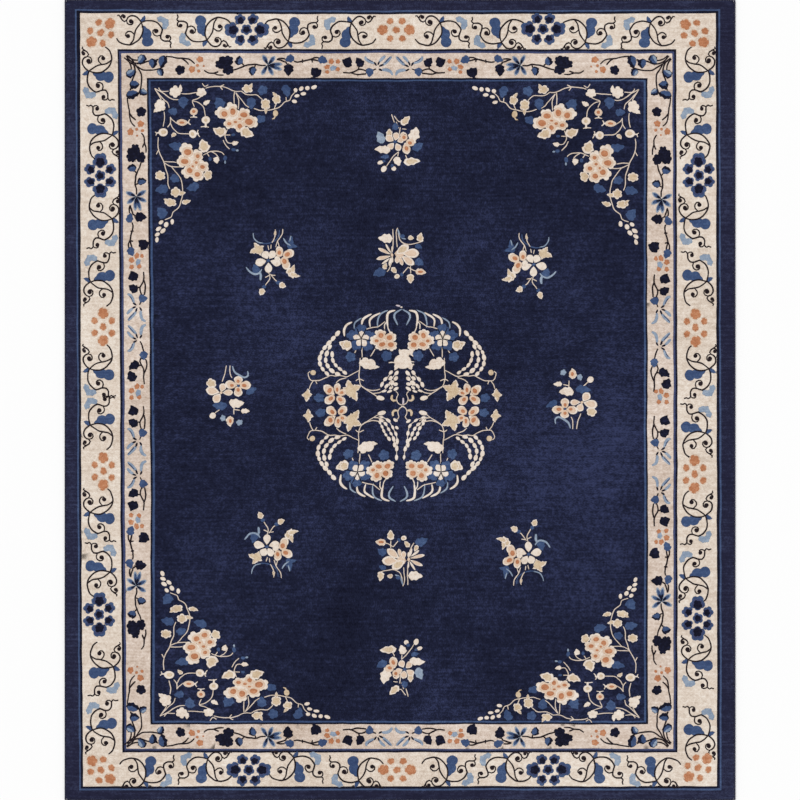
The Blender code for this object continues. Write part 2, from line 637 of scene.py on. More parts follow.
# A quarter of the round medallion, across and up from its middle.
MEDALLION_QUARTER: tuple[Shape, ...] = (
    Line(IVORY, 2.4, ((-49, 82), (-53.5, 79.5), (-57, 74.5), (-56.5, 67.5)), 0.35),
    Line(SKY, 1.6, ((-39.5, 86), (-46, 81.5), (-47, 75)), 0.35),
    Line(IVORY, 2.3, ((-30, 89.5), (-38, 85), (-39.5, 77.5)), 0.35),
    Line(IVORY, 2.1, ((-21.5, 91), (-29.5, 86.5), (-32, 83), (-31, 77)), 0.35),
    Line(SKY, 1.7, ((-13.5, 93.5), (-21.5, 89.5), (-24, 81.5), (-23.5, 76)), 0.35),
    Line(IVORY, 2.5, ((-6, 93.5), (-13, 91), (-14.5, 84.5), (-13.5, 77)), 0.35),
    Line(SKY, 2, ((0.5, 94.5), (-6, 90.5), (-7, 86), (-3.5, 78.5)), 0.35),
    Line(IVORY, 1.2, ((-13.5, 80), (-13.5, 76), (-11, 71))),
    Line(IVORY, 1.2, ((-15, 82), (-17, 79), (-17, 74.5))),
    *(Line(TWIG, STEM, route) for route in (
        ((-35, 75), (-29.5, 76.5), (-23.5, 77.5), (-16.5, 82.5)),
        ((-39.5, 58), (-39.5, 46.5)),
        ((-41.5, 46), (-42, 33.5), (-42.5, 28), (-42, 23.5), (-40, 18), (-35, 14.5), (-28, 10), (-25, 8),
         (-23, 6)),
        ((-26.5, 55), (-31, 47.5)),
        ((-45, 55), (-47, 51)),
        ((-42, 33.5), (-47, 31), (-52, 28.5), (-55, 27.5), (-61, 28.5), (-66.5, 28), (-71, 28.5),
         (-76, 26), (-82, 23.5), (-90, 23.5), (-92.5, 27.5), (-93, 31), (-91, 33)),
        ((-87.5, 23.5), (-90.5, 19.5), (-92, 15)),
        ((-86, 23.5), (-84.5, 20)),
        ((-55, 26.5), (-62, 24), (-65, 21)),
        ((-45.5, 23), (-42.5, 25), (-37.5, 23)),
        ((-40, 18), (-35, 15), (-28.5, 13.5), (-21.5, 15)),
        ((-28.5, 10.5), (-21.5, 11.5), (-17.5, 14)),
    )),
    Oval(IVORY, -21, 6, 4.2, 2.3, -15),
    Oval(TAN, -88, 31.5, 2.8, 2.8),
    Star(TAN, (-94, 9), ((-99.5, 9), (-93, 15.5), (-88.5, 9.5), (-94.5, 2)), 0.7),
    *(Ruffle(DENIM, *row) for row in (
        (-40, 74.5, 5.8, 5.4), (-48.5, 68.5, 5.8, 5.6), (-31.5, 67.5, 5.8, 5.6), (-45.5, 59, 5.8, 5.4),
        (-34, 58.5, 5.8, 5.4),
    )),
    *(Petal(IVORY, *row) for row in (
        ((-40, 65), (-39.6, 73.2), 6), ((-40, 65), (-48, 67.3), 6), ((-40, 65), (-32.2, 67), 6),
        ((-40, 65), (-44, 58), 6), ((-40, 65), (-35.4, 57.8), 6),
    )),
    *(Line(INK, 1.0, route, 0.5) for route in (
        ((-40, 65), (-44.5, 76)),
        ((-40, 65), (-35, 75.5)),
        ((-40, 65), (-51, 63)),
        ((-40, 65), (-28.5, 62.8)),
        ((-40, 65), (-39.8, 54.5)),
    )),
    *(Ruffle(IVORY, *row) for row in (
        (-21, 69.5, 5.6, 5.3, 6), (-10.5, 66.5, 5.6, 5.3, 6), (-26, 63.5, 5.6, 5.3, 6),
        (-21, 58.5, 5.6, 5.3, 6), (-10, 58, 5.6, 5.3, 6),
    )),
    Oval(IVORY, -15.5, 63.5, 5, 5),
    *(Heart(*row) for row in (
        (-20.4, 68.3, 2.7, 2.9), (-12, 66.3, 3, 2.8), (-24.8, 62.8, 2, 1.8), (-19.5, 59.3, 3.5, 2.3, 15),
        (-10.7, 59, 3.1, 2.6),
    )),
    Leaf(TAN, -56, 59, 14, 9.5, 158),
    Ruffle(TAN, -54, 59, 4.4, 4.6),
    Ruffle(DENIM, -51, 47, 5.2, 4.9), Ruffle(DENIM, -15, 48, 5.6, 5.2), Ruffle(DENIM, -82, 6, 5, 4.6),
    Ruffle(IVORY, -36, 40.5, 5.6, 6.4, 4, 45),
    Oval(IVORY, -31, 39.5, 5, 5.2),
    Leaf(IVORY, -28, 37, 12, 4.6, -3),
    Strand(IVORY, 9, 3, 1.9, ((-62, 72), (-68.5, 65), (-75, 58.5), (-79.5, 52), (-81.5, 45),
        (-80.5, 38.5), (-77, 33), (-72.5, 28.5))),
    Strand(IVORY, 6, 3.1, 2, ((-70.5, 59), (-74.5, 51.5), (-75.5, 43), (-72, 36), (-67, 31.5), (-61, 29))),
    Strand(IVORY, 5, 3, 1.8, ((-69.5, 52), (-68.5, 44), (-65, 38), (-60, 34), (-54.5, 30))),
    *(Petal(PEACH, *row) for row in (
        ((-67, 9), (-77.5, 18.5), 8.4), ((-65.5, 10), (-63, 21), 7), ((-64, 9.8), (-54.5, 13), 6.4),
        ((-67, 8), (-76.5, 0.5), 8.4), ((-64.5, 7.6), (-56.5, -0.2), 8.4),
    )),
    *(Heart(*row) for row in (
        (-71.7, 13.3, 2.2, 2.9, -38), (-64, 14.2, 1.4, 2.6), (-59.7, 11.2, 2.2, 1.5, 20),
        (-70.6, 5.2, 2.9, 1.8, 38), (-61.3, 4.4, 2.4, 1.9, -40),
    )),
    Star(TAN, (-50.5, 13.5), ((-53.5, 24.5), (-40, 18), (-44, 3), (-51.5, 6), (-58.5, 16)), 0.62),
    Line(TWIG, STEM, ((0.5, -1), (-3, 0.5), (-5, 4), (-4.7, 7), (-3.5, 9.5), (-4.5, 11.5), (-6, 12.5))),
    Line(TAN, 2.6, ((-9.3, 9), (-10, 5.5), (-8, 3.3), (-5.3, 3.6)), 0.6),
)

# What stands on the medallion's axis above its middle.
MEDALLION_CROWN: tuple[Shape, ...] = (
    Oval(IVORY, 1, 42.5, 8.4, 7.4), Oval(IVORY, 3, 51, 5.6, 3.8),
    *(Leaf(IVORY, *row) for row in (
        (-5.5, 37.5, 8, 5, -105), (8, 38, 8.5, 6, -62), (-1, 52.5, 6, 3.6, 125), (10, 50.5, 9, 4.4, -58),
    )),
    Line(IVORY, 1.2, ((-13, 41), (-10, 41.5), (-6.5, 41.5))),
    Line(IVORY, 1, ((8.5, 42.5), (12.5, 42))),
    Oval(IVORY, 11.5, 39.5, 1.1, 0.9),
    Line(PALE, 1.8, ((1.5, 6), (1.5, -1))),
    Oval(PALE, -3.5, 98, 2.6, 0.9, -12),
    Oval(IVORY, 0, 96.5, 1.2, 0.9),
)

# The bunch of beads on one side of the axis, under the crown's leaf.
CROWN_BUNCH: tuple[Shape, ...] = (
    *(Oval(IVORY, *row) for row in (
        (-10.5, 31.3, 2.8, 1.7, 50), (-4.8, 31, 2.9, 1.8, 50), (-16, 24.8, 2.7, 1.8, 50),
        (-10.8, 25.8, 2.6, 1.7, 45), (-5.5, 25.5, 2.6, 1.9, 50), (-10, 20.8, 3.4, 2.4, 40),
        (-19.5, 19.5, 2.9, 1.7, 65), (-14.8, 18, 2.8, 1.6, 50), (-5.8, 19.8, 2.4, 1.8, 20),
        (-10.3, 16.3, 2.6, 1.5, 40), (-5.5, 15.2, 3, 1.6, 35), (-12, 12.6, 2.8, 1.2, 18),
        (-17.5, 13, 2.7, 1.2, 15),
    )),
    Line(IVORY, 0.8, ((-9, 33), (-14, 26.5), (-17.5, 22.5), (-20.5, 16.5))),
    Line(IVORY, 0.8, ((-4, 33), (-9.5, 25), (-13, 19), (-17, 14))),
)

# The two bunches that hang below the medallion's middle.
MEDALLION_FOOT: tuple[Shape, ...] = (
    Strand(IVORY, 7, 2.7, 1.5, ((-23, -12), (-14, -15.5), (-8, -24), (-4.5, -33), (-4.5, -42), (-5, -56))),
    Strand(IVORY, 6, 2.6, 1.6, ((-22, -15), (-15.5, -20), (-11.5, -27), (-8, -34), (-6.5, -43))),
    Strand(IVORY, 5, 2.4, 1.5, ((-22, -17), (-19, -23), (-16.5, -29), (-11.5, -36))),
    Oval(IVORY, -5.8, -16, 2.6, 1.5, -35), Oval(IVORY, -4.5, -23.5, 2.2, 1.4, -40),
    Strand(IVORY, 7, 2.6, 1.6, ((25, -13), (15.5, -15.5), (9, -21), (6.5, -29), (6, -37),
        (3.5, -46), (2.5, -56))),
    Strand(IVORY, 6, 2.5, 1.6, ((24, -15.5), (16, -21), (12, -27), (9, -34), (6, -43))),
    Strand(IVORY, 4, 2.3, 1.6, ((23, -18), (17.5, -25), (15.5, -31), (11.5, -36))),
    Oval(IVORY, 7, -17, 2.6, 1.5, 30),
)

# The bouquet that stands in the field's four quarters.
CORNER_BOUQUET: tuple[Shape, ...] = (
    Line(DENIM, 1.3, ((-18.5, 25), (-15, 20.5), (-6.5, 19), (1, 21.5), (6, 26), (7, 32.5)), 0.6),
    Line(SKY, 1.3, ((-19.5, 29.5), (-19, 25.5), (-15.5, 20.8), (-10, 19.4)), 0.6),
    *(Line(TWIG, STEM, route) for route in (
        ((2.5, 33), (3, 29), (1.5, 24), (-1, 20)),
        ((10, 33.5), (9.5, 28), (5, 21.5), (3, 15.5)),
        ((-1.5, 18), (-2, 14)),
        ((-5, 17), (-4, 13)),
        ((5, 21.5), (6.5, 16)),
    )),
    Leaf(TAN, 2.5, 29.5, 6, 2.6, 80),
    Leaf(DENIM, 18, 20, 14, 6, 80), Leaf(DENIM, 20, 17.5, 11, 4.6, -20),
    Line(SKY, 1.6, ((11, 24.5), (14, 19.5), (18, 17)), 0.5),
    Line(SKY, 1.4, ((18.5, 27), (17, 21)), 0.5),
    Star(TAN, (-14, 13), ((-18.5, 20), (-9, 17), (-23, 10), (-12, 7)), 0.6),
    *(Petal(IVORY, *row) for row in (
        ((-5.2, 4), (-9.5, 11.5), 7.8), ((-6.5, 2), (-17.6, -0.5), 8), ((-4.5, 0.5), (-4.2, -10.3), 7.4),
        ((-3.5, 4), (1.5, 12), 7.4), ((-2.5, 2), (8, -1.5), 7),
    )),
    Petal(PEACH, (9, 6.5), (5, 16.5), 7.4), Petal(PEACH, (11, 6), (21, 12), 8.4),
    Petal(PEACH, (10, 4), (15.5, -6.8), 8.6),
    Oval(IVORY, 4.5, 4, 3.4, 2.6, -30),
    Heart(6.5, 10, 2, 2.4), Heart(14.5, 8.5, 3, 2.2, 25), Heart(11.5, 1.5, 2.4, 2.8, 20),
    Oval(DENIM, -4.5, 2.5, 1.9, 1.7),
    Leaf(DENIM, -17.5, -6.5, 11, 8, 100),
    Line(SKY, 2, ((-26.5, -4.5), (-22.5, -9.5), (-17.5, -11.5), (-13.5, -10), (-11, -6.5)), 0.5),
    Line(SKY, 2.6, ((-13.5, -9), (-12, -12.5), (-12.5, -17.5)), 0.5),
    Leaf(TAN, 18, -10.5, 12, 8, -60), Leaf(TAN, 22, -12, 12, 4.6, -15), Leaf(TAN, 20.5, -6, 9, 4, 80),
    *(Line(TWIG, STEM, route) for route in (
        ((-4, -10), (-3, -15.5), (-6, -20.5), (-7.5, -23)),
        ((-2.5, -11), (2.5, -17.5), (5, -19)),
        ((-7.5, -14.5), (-3.5, -12.5)),
        ((2.5, -12.5), (-2, -12)),
    )),
    Oval(DENIM, -8.5, -24, 2.2, 2),
    Leaf(TAN, -11, -29, 8, 6, -115),
    Oval(DENIM, 5.5, -20, 2.6, 2),
    Leaf(TAN, 10, -22.5, 8, 6, -32),
)

# The bouquet above and below the medallion.
CENTRE_BOUQUET: tuple[Shape, ...] = (
    Petal(IVORY, (-8.5, 4), (-14.5, 14), 2.4),
    Petal(PEACH, (-9, 3.4), (-22, 9.5), 3.6), Petal(PEACH, (-9, 1.8), (-24, -1.5), 3.6),
    *(Petal(IVORY, *row) for row in (
        ((-10, 0), (-18.5, -6.5), 2.6), ((-9, 1), (-10.5, -9), 3.2), ((-8, 2), (-7.5, -5), 2),
        ((-8, 4), (-7.5, 12), 1.8), ((-6, 3.5), (-1, 7.5), 1.8),
    )),
    Oval(PEACH, -8, 2.8, 1.5, 2),
    Leaf(IVORY, -14.5, 19.5, 15, 9, 178),
    Line(TWIG, STEM, ((-7, 28.5), (-6.5, 19.5), (-7, 8.5))),
    Line(TWIG, STEM, ((-2, 29.5), (-3.5, 24.5), (-2.5, 11))),
    Line(TWIG, STEM, ((-2, 29), (0.5, 17.5), (7, 13.5), (13.5, 14), (20.5, 15.5))),
    Line(SKY, 1.9, ((-2, 28.5), (1, 21), (6, 18.5)), 0.5),
    Oval(DENIM, 3, 21.5, 2.4, 2),
    Leaf(TAN, 11, 19.5, 6, 4.6, 0), Leaf(TAN, 20.5, 20, 10, 6.6, 88),
    Leaf(DENIM, 18.5, 11, 8, 5, -20),
    Oval(PEACH, -0.5, 4, 4.4, 4.4),
    Petal(TAN, (-4, 4), (8.8, 12.5), 8.4),
    *(Petal(PEACH, *row) for row in (
        ((2, 4.5), (19.2, 4.5), 9.4), ((1.5, 2), (14, -7.2), 7.4), ((0, 1.5), (2.2, -7.8), 4),
        ((-2.5, 3), (-3.2, -5.8), 5),
    )),
    Leaf(DENIM, 19, -5, 10, 8, -20), Leaf(DENIM, -20.5, -15.5, 13.5, 8.5, 195),
    Leaf(TAN, -15, -8.5, 7, 4.6, 70), Leaf(TAN, -6, -12.5, 8, 5, -50),
    Line(TWIG, STEM, ((-13, -14), (-10, -9), (-9.5, -6))),
    Oval(IVORY, -2.8, -18.5, 2.9, 2.3, 20),
    Oval(TAN, -2.6, -18.4, 1.4, 1.1, 20),
    Oval(DENIM, 2, -16.5, 1.8, 2),
    Leaf(TAN, 10.5, -21, 10, 7, -90),
    Line(TWIG, STEM, ((10.5, -8.5), (10.5, -15.5))), Line(TWIG, STEM, ((8, -9.5), (3, -15.5))),
    Line(TWIG, STEM, ((8, -9.5), (13.5, -12.5), (16, -13))),
    Leaf(IVORY, 20.5, -14, 11, 6.4, -6),
    Heart(20, -14, 2.8, 1.3),
)

# The small bouquet near each end of the field.
END_BOUQUET: tuple[Shape, ...] = (
    *(Line(TWIG, STEM, route) for route in (
        ((-6.5, 28), (-4, 20)),
        ((-4, 26.5), (0.5, 21), (3, 20.5)),
        ((2, 15), (1.5, 7.5)),
        ((4, 13.5), (8.5, 13)),
        ((-2, 20.5), (0.5, 14)),
        ((0.5, -9), (-5.5, -15), (-9, -20), (-11.5, -24)),
        ((7.5, -12.5), (9, -15.5), (11, -17)),
        ((0.5, -9), (0, -14)),
    )),
    Leaf(TAN, 7.5, 22, 12.5, 7, 42),
    Leaf(DENIM, -2.5, 16, 8, 6.6, 95),
    Leaf(SKY, -17.5, 5, 13, 8.5, 112),
    Leaf(TAN, -8.5, 9.5, 8.5, 6.4, 92),
    Leaf(IVORY, 16, 8.5, 14.5, 10.5, 66),
    *(Petal(PEACH, *row) for row in (
        ((-2.7, 1.8), (-1, 10), 7.2), ((-4.2, 1.4), (-12, 6.5), 7.2), ((-4, -0.6), (-10, -6.5), 6.4),
        ((-2, -1), (2, -8), 6.8), ((-1, 1), (6, 3.4), 6.2), ((6, 2), (5.5, 10.5), 7),
        ((8, 1.5), (18, 0), 8), ((7, 0), (9.5, -12), 8.2),
    )),
    Heart(6, 5, 1.8, 1.9), Heart(12, -0.5, 2.4, 1.8, -10), Heart(8.5, -6, 2, 2.6, 25),
    Oval(DENIM, -3, 0.5, 1.8, 1.7),
    Leaf(DENIM, 20, -4, 12, 8, 28),
    Leaf(IVORY, -15.5, -7.5, 16, 7.6, 172),
    Oval(IVORY, -14, -26.5, 2.6, 3.4, -25),
    Leaf(DENIM, -13, -14, 9, 4.6, 190),
    Oval(IVORY, -17.5, -20, 2.9, 2, 20),
    Oval(DENIM, -14, -18.5, 1.8, 1.4),
    Oval(IVORY, -4.2, -26.3, 2.4, 2.4),
    Oval(DENIM, -6, -23.5, 1.8, 2),
    Leaf(IVORY, -0.5, -19, 10, 7.5, -70),
    Leaf(TAN, 14, -19, 17, 7.6, 6),
)

# The bouquet on each side of the medallion.
SIDE_BOUQUET: tuple[Shape, ...] = (
    *(Line(TWIG, STEM, route) for route in (
        ((-6, 27), (-7.5, 19), (-10.5, 11.5)),
        ((-2.5, 27), (-2.5, 19), (-0.5, 15)),
        ((1.5, -14), (1.5, -21.5)),
        ((1.5, -16.5), (7, -17.5)),
        ((-13, -16.5), (-17.5, -20)),
    )),
    Line(SKY, 2.1, ((0, 26.5), (2, 21), (7, 17.5), (12, 15.5), (15.5, 17.5), (15, 22)), 0.5),
    Ruffle(TAN, -21.3, 9.8, 5, 4.6),
    *(Petal(PEACH, *row) for row in (
        ((-13, 0.5), (-27, 3.5), 9), ((-12.5, -0.5), (-18.5, -9.5), 8.4), ((-11.5, 1), (-8.5, 9.5), 7.4),
        ((-10, 0), (0.5, 0.5), 6.4),
    )),
    Oval(PEACH, -11.5, 0.3, 1.6, 1.5),
    *(Petal(PEACH, *row) for row in (
        ((5.8, 8), (5.8, 17), 9), ((7, 7.3), (18.5, 8.5), 8.6), ((4.5, 7.3), (-7.5, 9), 8.6),
        ((5.6, 6.4), (5.5, -4), 8.6),
    )),
    *(Heart(*row) for row in (
        (5.5, 11.5, 1.8, 1.8), (11.5, 7.5, 2.8, 1.9), (-0.5, 7.5, 2, 1.6), (5.5, 3, 1.8, 2),
    )),
    Oval(DENIM, 5.5, 7, 1.3, 1.3),
    Leaf(DENIM, 18.5, 2.5, 12.5, 6.4, 30), Leaf(DENIM, -13, -12.5, 16, 8, 176),
    Leaf(IVORY, 4, -10, 15, 9, -2), Leaf(IVORY, 12.5, -18, 9, 5, 0),
    Oval(IVORY, -20, -22.5, 3.4, 3, 30),
    Ruffle(SKY, -9.5, -25, 3, 3.1), Ruffle(SKY, 7, -29.5, 3.1, 3),
    Leaf(IVORY, -2, -28.5, 11, 7.5, -92),
    Heart(-2, -28, 1.5, 2.3),
)

# One group of the main border's vine: x runs along the border, away from its rosette, and y across.
BORDER_VINE: tuple[Shape, ...] = (
    Oval(DENIM, 6.2, 19.4, 5.6, 5.2), Oval(DENIM, 5.2, 12.4, 4.7, 6, 12),
    Leaf(DENIM, 3.9, 8.6, 11.5, 6, -112),
    Ruffle(SKY, 23.8, 3.4, 3.1, 4.2, 5, 30), Ruffle(SKY, 23.6, -0.8, 3.8, 3.2),
    Ruffle(SKY, 19.4, -3.2, 4, 3, 5, 20),
    Leaf(DENIM, 1.9, -3.4, 7.6, 4.2, -62),
    Line(VINE, 1.45, ((-24.4, 16.2), (-21.6, 19.8), (-17, 21.8), (-12, 22.6), (-7, 21.2),
        (-2.2, 17.4), (1, 12), (1.5, 6), (0, 0))),
    Line(VINE, 1.35, ((-11, 22.4), (-8, 18.4), (-6.9, 13.4), (-5.8, 8.2), (-3.2, 3.9), (0, 0))),
    Line(VINE, 1.45, ((0, 0), (-2.4, -3.2), (-6, -6), (-10.4, -6.3), (-13.6, -4), (-14.6, -1.4))),
    Line(VINE, 1.35, ((-14.5, -1.8), (-16.6, -0.3), (-19, -1.5), (-21, -4.6), (-22.6, -6.8),
        (-24.4, -6.2))),
    Line(VINE, 1.45, ((0, 0), (5, -1.4), (10.4, -1.7), (15, -0.2), (18.8, 3.2), (20.9, 7.6),
        (19.4, 12), (19.4, 16.6), (23, 18.9), (27.5, 18.9), (29.6, 21), (28.6, 23), (29.4, 25.6))),
    Curl(VINE, (-7, 12.2), (-13.1, 13.9), -190, 2.1),
    Curl(VINE, (-14.6, -1.4), (-10.2, -0.6), -230, 2.2),
    Curl(VINE, (-19.4, -1.9), (-17.4, -5.4), 150, 1.9),
    Curl(VINE, (19.3, 12.8), (14.8, 8.9), 230, 2.2),
    Curl(VINE, (27.6, 18.9), (25.9, 14.6), -120, 2.0),
)

# A butterfly-like pair half of the inner border: x runs away from the pair's middle, y towards the field.
BUTTERFLY: tuple[Shape, ...] = (
    Line(SKY, 3.1, ((19.6, -2.4), (24, -4), (27.4, -6.2), (28.4, -9.2)), 0.45),
    Line(SKY, 2.9, ((15, -3), (12.4, -6.4), (8.8, -9.5)), 0.45),
    Line(SKY, 3.1, ((11.4, -0.3), (7, -4.2), (2.4, -8.8)), 0.45),
    Line(SKY, 3.1, ((12.2, 4.2), (7.2, 4.3), (3.4, 6), (1.6, 9.4)), 0.45),
    Line(DENIM, 0.9, ((21, -4), (24.4, -5.3), (26.6, -7.2))),
    Line(DENIM, 0.9, ((9.6, -2.8), (6.4, -5.8), (3.6, -8.6))),
    *(Line(INK, 2.0, route, 0.5) for route in (
        ((17.5, 0), (19.7, -3.5)),
        ((16.1, -0.6), (14.7, -4.2)),
        ((14.9, 0.7), (10.7, -1)),
        ((15.4, 3.2), (12, 5)),
    )),
)

# The leaves and stems beside it.
NEAR_LEAVES: tuple[Shape, ...] = (
    Line(VINE, 1.3, ((18, 3.2), (21.5, 4.6), (24, 6.4))),
    Line(VINE, 1.4, ((27, 5.5), (31.5, 3.7), (35.5, 3.5), (39.3, 5.6), (44, 7.2), (50.8, 6.8))),
    Line(VINE, 1.4, ((28, 7.8), (35, 8.6), (39.3, 8.2), (43, 7))),
    Line(VINE, 1.4, ((35.2, 3.5), (35, 0.5))),
    Leaf(DENIM, 24.8, 6.6, 9, 8, 96),
    Leaf(INK, 34.3, -3.6, 11, 8.4, -58), Leaf(INK, 45.7, -3.8, 11.5, 9, -112),
    Leaf(INK, 48.6, -4.6, 7, 5, -25),
)

# The same where a run stops short at the blossom between two pairs, and its leaves stand farther out.
SHORT_LEAVES: tuple[Shape, ...] = (
    *(Line(VINE, 1.4, route) for route in (
        ((18.5, 3.4), (22.8, 5.4), (29, 6.8)),
        ((35, 4.6), (38.5, 3.2), (42.5, 5), (46.5, 7), (51, 7.3), (56, 7), (61.5, 7.6)),
        ((36, 8.8), (40, 10.2), (46, 9.4), (51, 7.3)),
        ((42.5, 5), (41.8, 0.5)),
    )),
    Leaf(DENIM, 32.8, 7.2, 9, 8, -8),
    Leaf(INK, 42, -3, 11.5, 8.4, -62), Leaf(INK, 45, -5.8, 6, 3.6, -50), Leaf(INK, 53, -5, 11.5, 9.6, -150),
)

# The small rust blossom with its light heart, about its own middle.
SMALL_BLOSSOM: tuple[Shape, ...] = (
    *(Ruffle(RUST, *row) for row in (
        (1.7, -5.3, 2.9, 2.7), (-5.3, -5.3, 2.4, 2.2), (5.8, 0.2, 3, 2.4, 5, 30), (-4.7, 2.4, 2.6, 2.2),
        (5.5, 5.3, 2.2, 1.9),
    )),
    Ruffle(SKY, -0.5, 1.4, 3.2, 2.6, 5, 20),
)

# The rest of a full run, out to the corner sprig.
FAR_LEAVES: tuple[Shape, ...] = (
    Line(VINE, 1.45, ((75, -8), (79.3, -8), (82.8, -6.5), (88, -5.3), (91.7, -4.3), (96.8, -3.5),
        (100, -4.3))),
    Line(VINE, 1.45, ((75, -4.6), (79, -5.6), (82.8, -6.5))),
    Line(VINE, 1.35, ((82, -6.3), (81.5, -3.4))), Line(VINE, 1.35, ((91.5, -6.2), (91.5, -2.8))),
    *(Line(VINE, 1.45, route) for route in (
        ((109.2, -6.9), (113.4, -7.2), (117, -6.2)),
        ((109, -3.7), (113.4, -5.3), (117, -6.2)),
        ((109, -4.3), (106.4, -0.8)),
        ((128, 0), (133, 0), (137.7, -1.5), (142.2, -1.1), (146, -0.8), (151, 1.1), (155.6, 3), (161, 4.3)),
    )),
    Line(VINE, 1.35, ((170, 9), (175.3, 9), (179.8, 7.5), (185.5, 7.2), (189.4, 4.6))),
    Line(VINE, 1.45, ((175, 5.6), (179.8, 7.5))),
    Line(VINE, 1.35, ((137.7, -1.5), (139.2, 2.4))), Line(VINE, 1.35, ((149, 0.4), (152, -2.6))),
    Leaf(DENIM, 71, -5.5, 10, 7.6, 160),
    Leaf(INK, 78, 6, 12, 10.5, -35),
    Leaf(DENIM, 104.5, -7, 10, 7.4, 20),
    Leaf(INK, 105, 4.4, 12, 9.6, 78),
    ShadedLeaf(DENIM, 141.2, 5.2, 9.6, 7.6, 78), ShadedLeaf(DENIM, 154.8, -5, 9.6, 7.6, -100, -1),
    *(Ruffle(INK, *row) for row in (
        (166, -5.5, 5.6, 4.8, 6), (173.5, -1.5, 4.8, 4.4, 6), (165.5, 3.8, 5.6, 5.2, 6),
        (168, -0.5, 6, 5, 6), (171.5, -6.5, 3.4, 3),
    )),
)

# The daisy of a run: its petals' tips, about its own middle.
DAISY_TIPS: tuple[Point, ...] = (
    (4.8, -10.5), (-7.3, -9.2), (-14.3, -1), (-7.3, 1.6), (-14, 4.8), (-5.1, 10.5), (6.4, 9.9),
)

# One arm of a corner sprig: x runs along the row from the corner, y towards the field.
SPRIG_ARM: tuple[Shape, ...] = (
    Line(VINE, 1.35, ((5.7, -10.3), (8.2, -7.8), (12.4, -5.9), (16.5, -5.5))),
    Line(VINE, 1.45, ((5, -9.5), (9.5, -4.3), (15.2, -2.1), (20.3, -2.1), (24.2, -3.7),
        (27.3, -4.6), (33.1, -5.2), (36.9, -6.5))),
    Line(VINE, 1.35, ((2.8, -7.8), (8.8, -3), (15.2, 0.8), (21, 4.3), (27.3, 4.6), (33.1, 4.3),
        (38.8, 2.7), (43.3, 0.2))),
    Line(VINE, 1.35, ((44.4, -9.5), (50.8, -8.8), (57, -7.5), (62.2, -7.2), (66.7, -6.5),
        (69.9, -5), (73, -1.8))),
    Line(VINE, 1.45, ((60, -7.2), (64, -4.6), (67, -1.1))),
    ShadedLeaf(SKY, 20.6, -5.6, 11, 8.4, 118),
    ShadedLeaf(DENIM, 31.3, -2.3, 10.4, 7.8, 84), ShadedLeaf(DENIM, 41.2, -4.2, 13.2, 8.2, 104),
    ShadedLeaf(SKY, 39.3, 6.5, 8.8, 7, 60),
    Ruffle(INK, 58.7, 4.3, 5, 4.8),
    Ruffle(RUST, 78.5, -6.2, 3.4, 3.2), Ruffle(RUST, 70.5, 3.7, 3.2, 3.3),
    Oval(RUST, 76, -0.2, 1.5, 1.5), Oval(RUST, 82, 0.5, 1, 1), Oval(RUST, 77.2, 5.5, 1.6, 1.6),
)


@dataclass(frozen=True)
class Ring:
    """The outer edge of a band that runs right round the rug.

    Each side is three distances from the middle of the rug, in knots: at its two ends and halfway. The upper
    and lower ones run from left to right, and the left and right ones from the top down.
    """

    yarn: Yarn
    left: Three
    right: Three
    top: Three
    bottom: Three
    step: float = 8.0

    @staticmethod
    def eased(values: Three, t: float) -> float:
        """The smooth value at share t of the way through three even ones."""
        a, b, c = values
        return a * (1 - t) * (1 - 2 * t) + 4 * b * t * (1 - t) + c * t * (2 * t - 1)

    def patch(self) -> Patch:
        """The ring's outline, anticlockwise."""
        corners = (
            (-self.left[0], self.top[0]),
            (-self.left[2], -self.bottom[0]),
            (self.right[2], -self.bottom[2]),
            (self.right[0], self.top[2]),
        )
        sides = (
            (self.left, True, -1, False),
            (self.bottom, False, -1, False),
            (self.right, True, 1, True),
            (self.top, False, 1, True),
        )
        outline = []
        ends = zip(corners, corners[1:] + corners[:1])
        for (start, end), (values, upright, sign, backwards) in zip(ends, sides):
            count = round(math.dist(start, end) / self.step)
            for i in range(count):
                t = i / count
                share = 1 - t if backwards else t
                held = sign * self.eased(values, share)
                if upright:
                    outline.append((held, start[1] + (end[1] - start[1]) * t))
                else:
                    outline.append((start[0] + (end[0] - start[0]) * t, held))
        return Patch(self.yarn, outline)


@dataclass(frozen=True)
class Bands:
    """The plain bands and guard lines, from the outer edge of the rug inwards."""

    rings: tuple[Ring, ...] = (
        Ring(GUARD, (324.1, 322.2, 320.1), (319.3, 320.5, 321),
             (390, 388.8, 390), (389.5, 389.5, 389.5)),
        Ring(INK, (322.3, 320.4, 318.3), (317.4, 318.6, 319.1),
             (388.2, 387, 388.2), (387.6, 387.6, 387.6)),
        Ring(GROUND, (318.8, 318.3, 316), (315, 316, 316.6),
             (386, 385, 386), (385.5, 385.5, 385.5)),
        Ring(INK, (281.7, 279.2, 277), (275.7, 276.7, 277),
             (349.9, 349.9, 349.9), (351.6, 351.6, 351.6)),
        Ring(HEATHER, (280, 277.2, 275), (273.8, 274.8, 275),
             (348, 348, 348), (349.7, 349.7, 349.7)),
        Ring(INNER, (278, 275, 273.2), (272, 272.8, 273),
             (346, 346, 346), (348, 348, 348)),
        Ring(INK, (252.8, 249.3, 249), (247, 247, 247.4),
             (321.2, 321.2, 321.2), (323.6, 323.6, 323.6)),
        Ring(DENIM, (251, 247.4, 247.2), (245.4, 245.4, 245.6),
             (319.5, 319.5, 319.5), (322, 322, 322)),
        Ring(NAVY, (249, 245, 244.8), (243.2, 243.4, 243.6),
             (317.9, 317.9, 317.9), (320.2, 320.2, 320.2)),
    )

    def patches(self) -> list[Patch]:
        """The rings, in the order that they lie."""
        return [ring.patch() for ring in self.rings]


class Dye(Enum):
    """The two colourings of the border's rosettes."""

    BLUE = "blue"
    RUST = "rust"


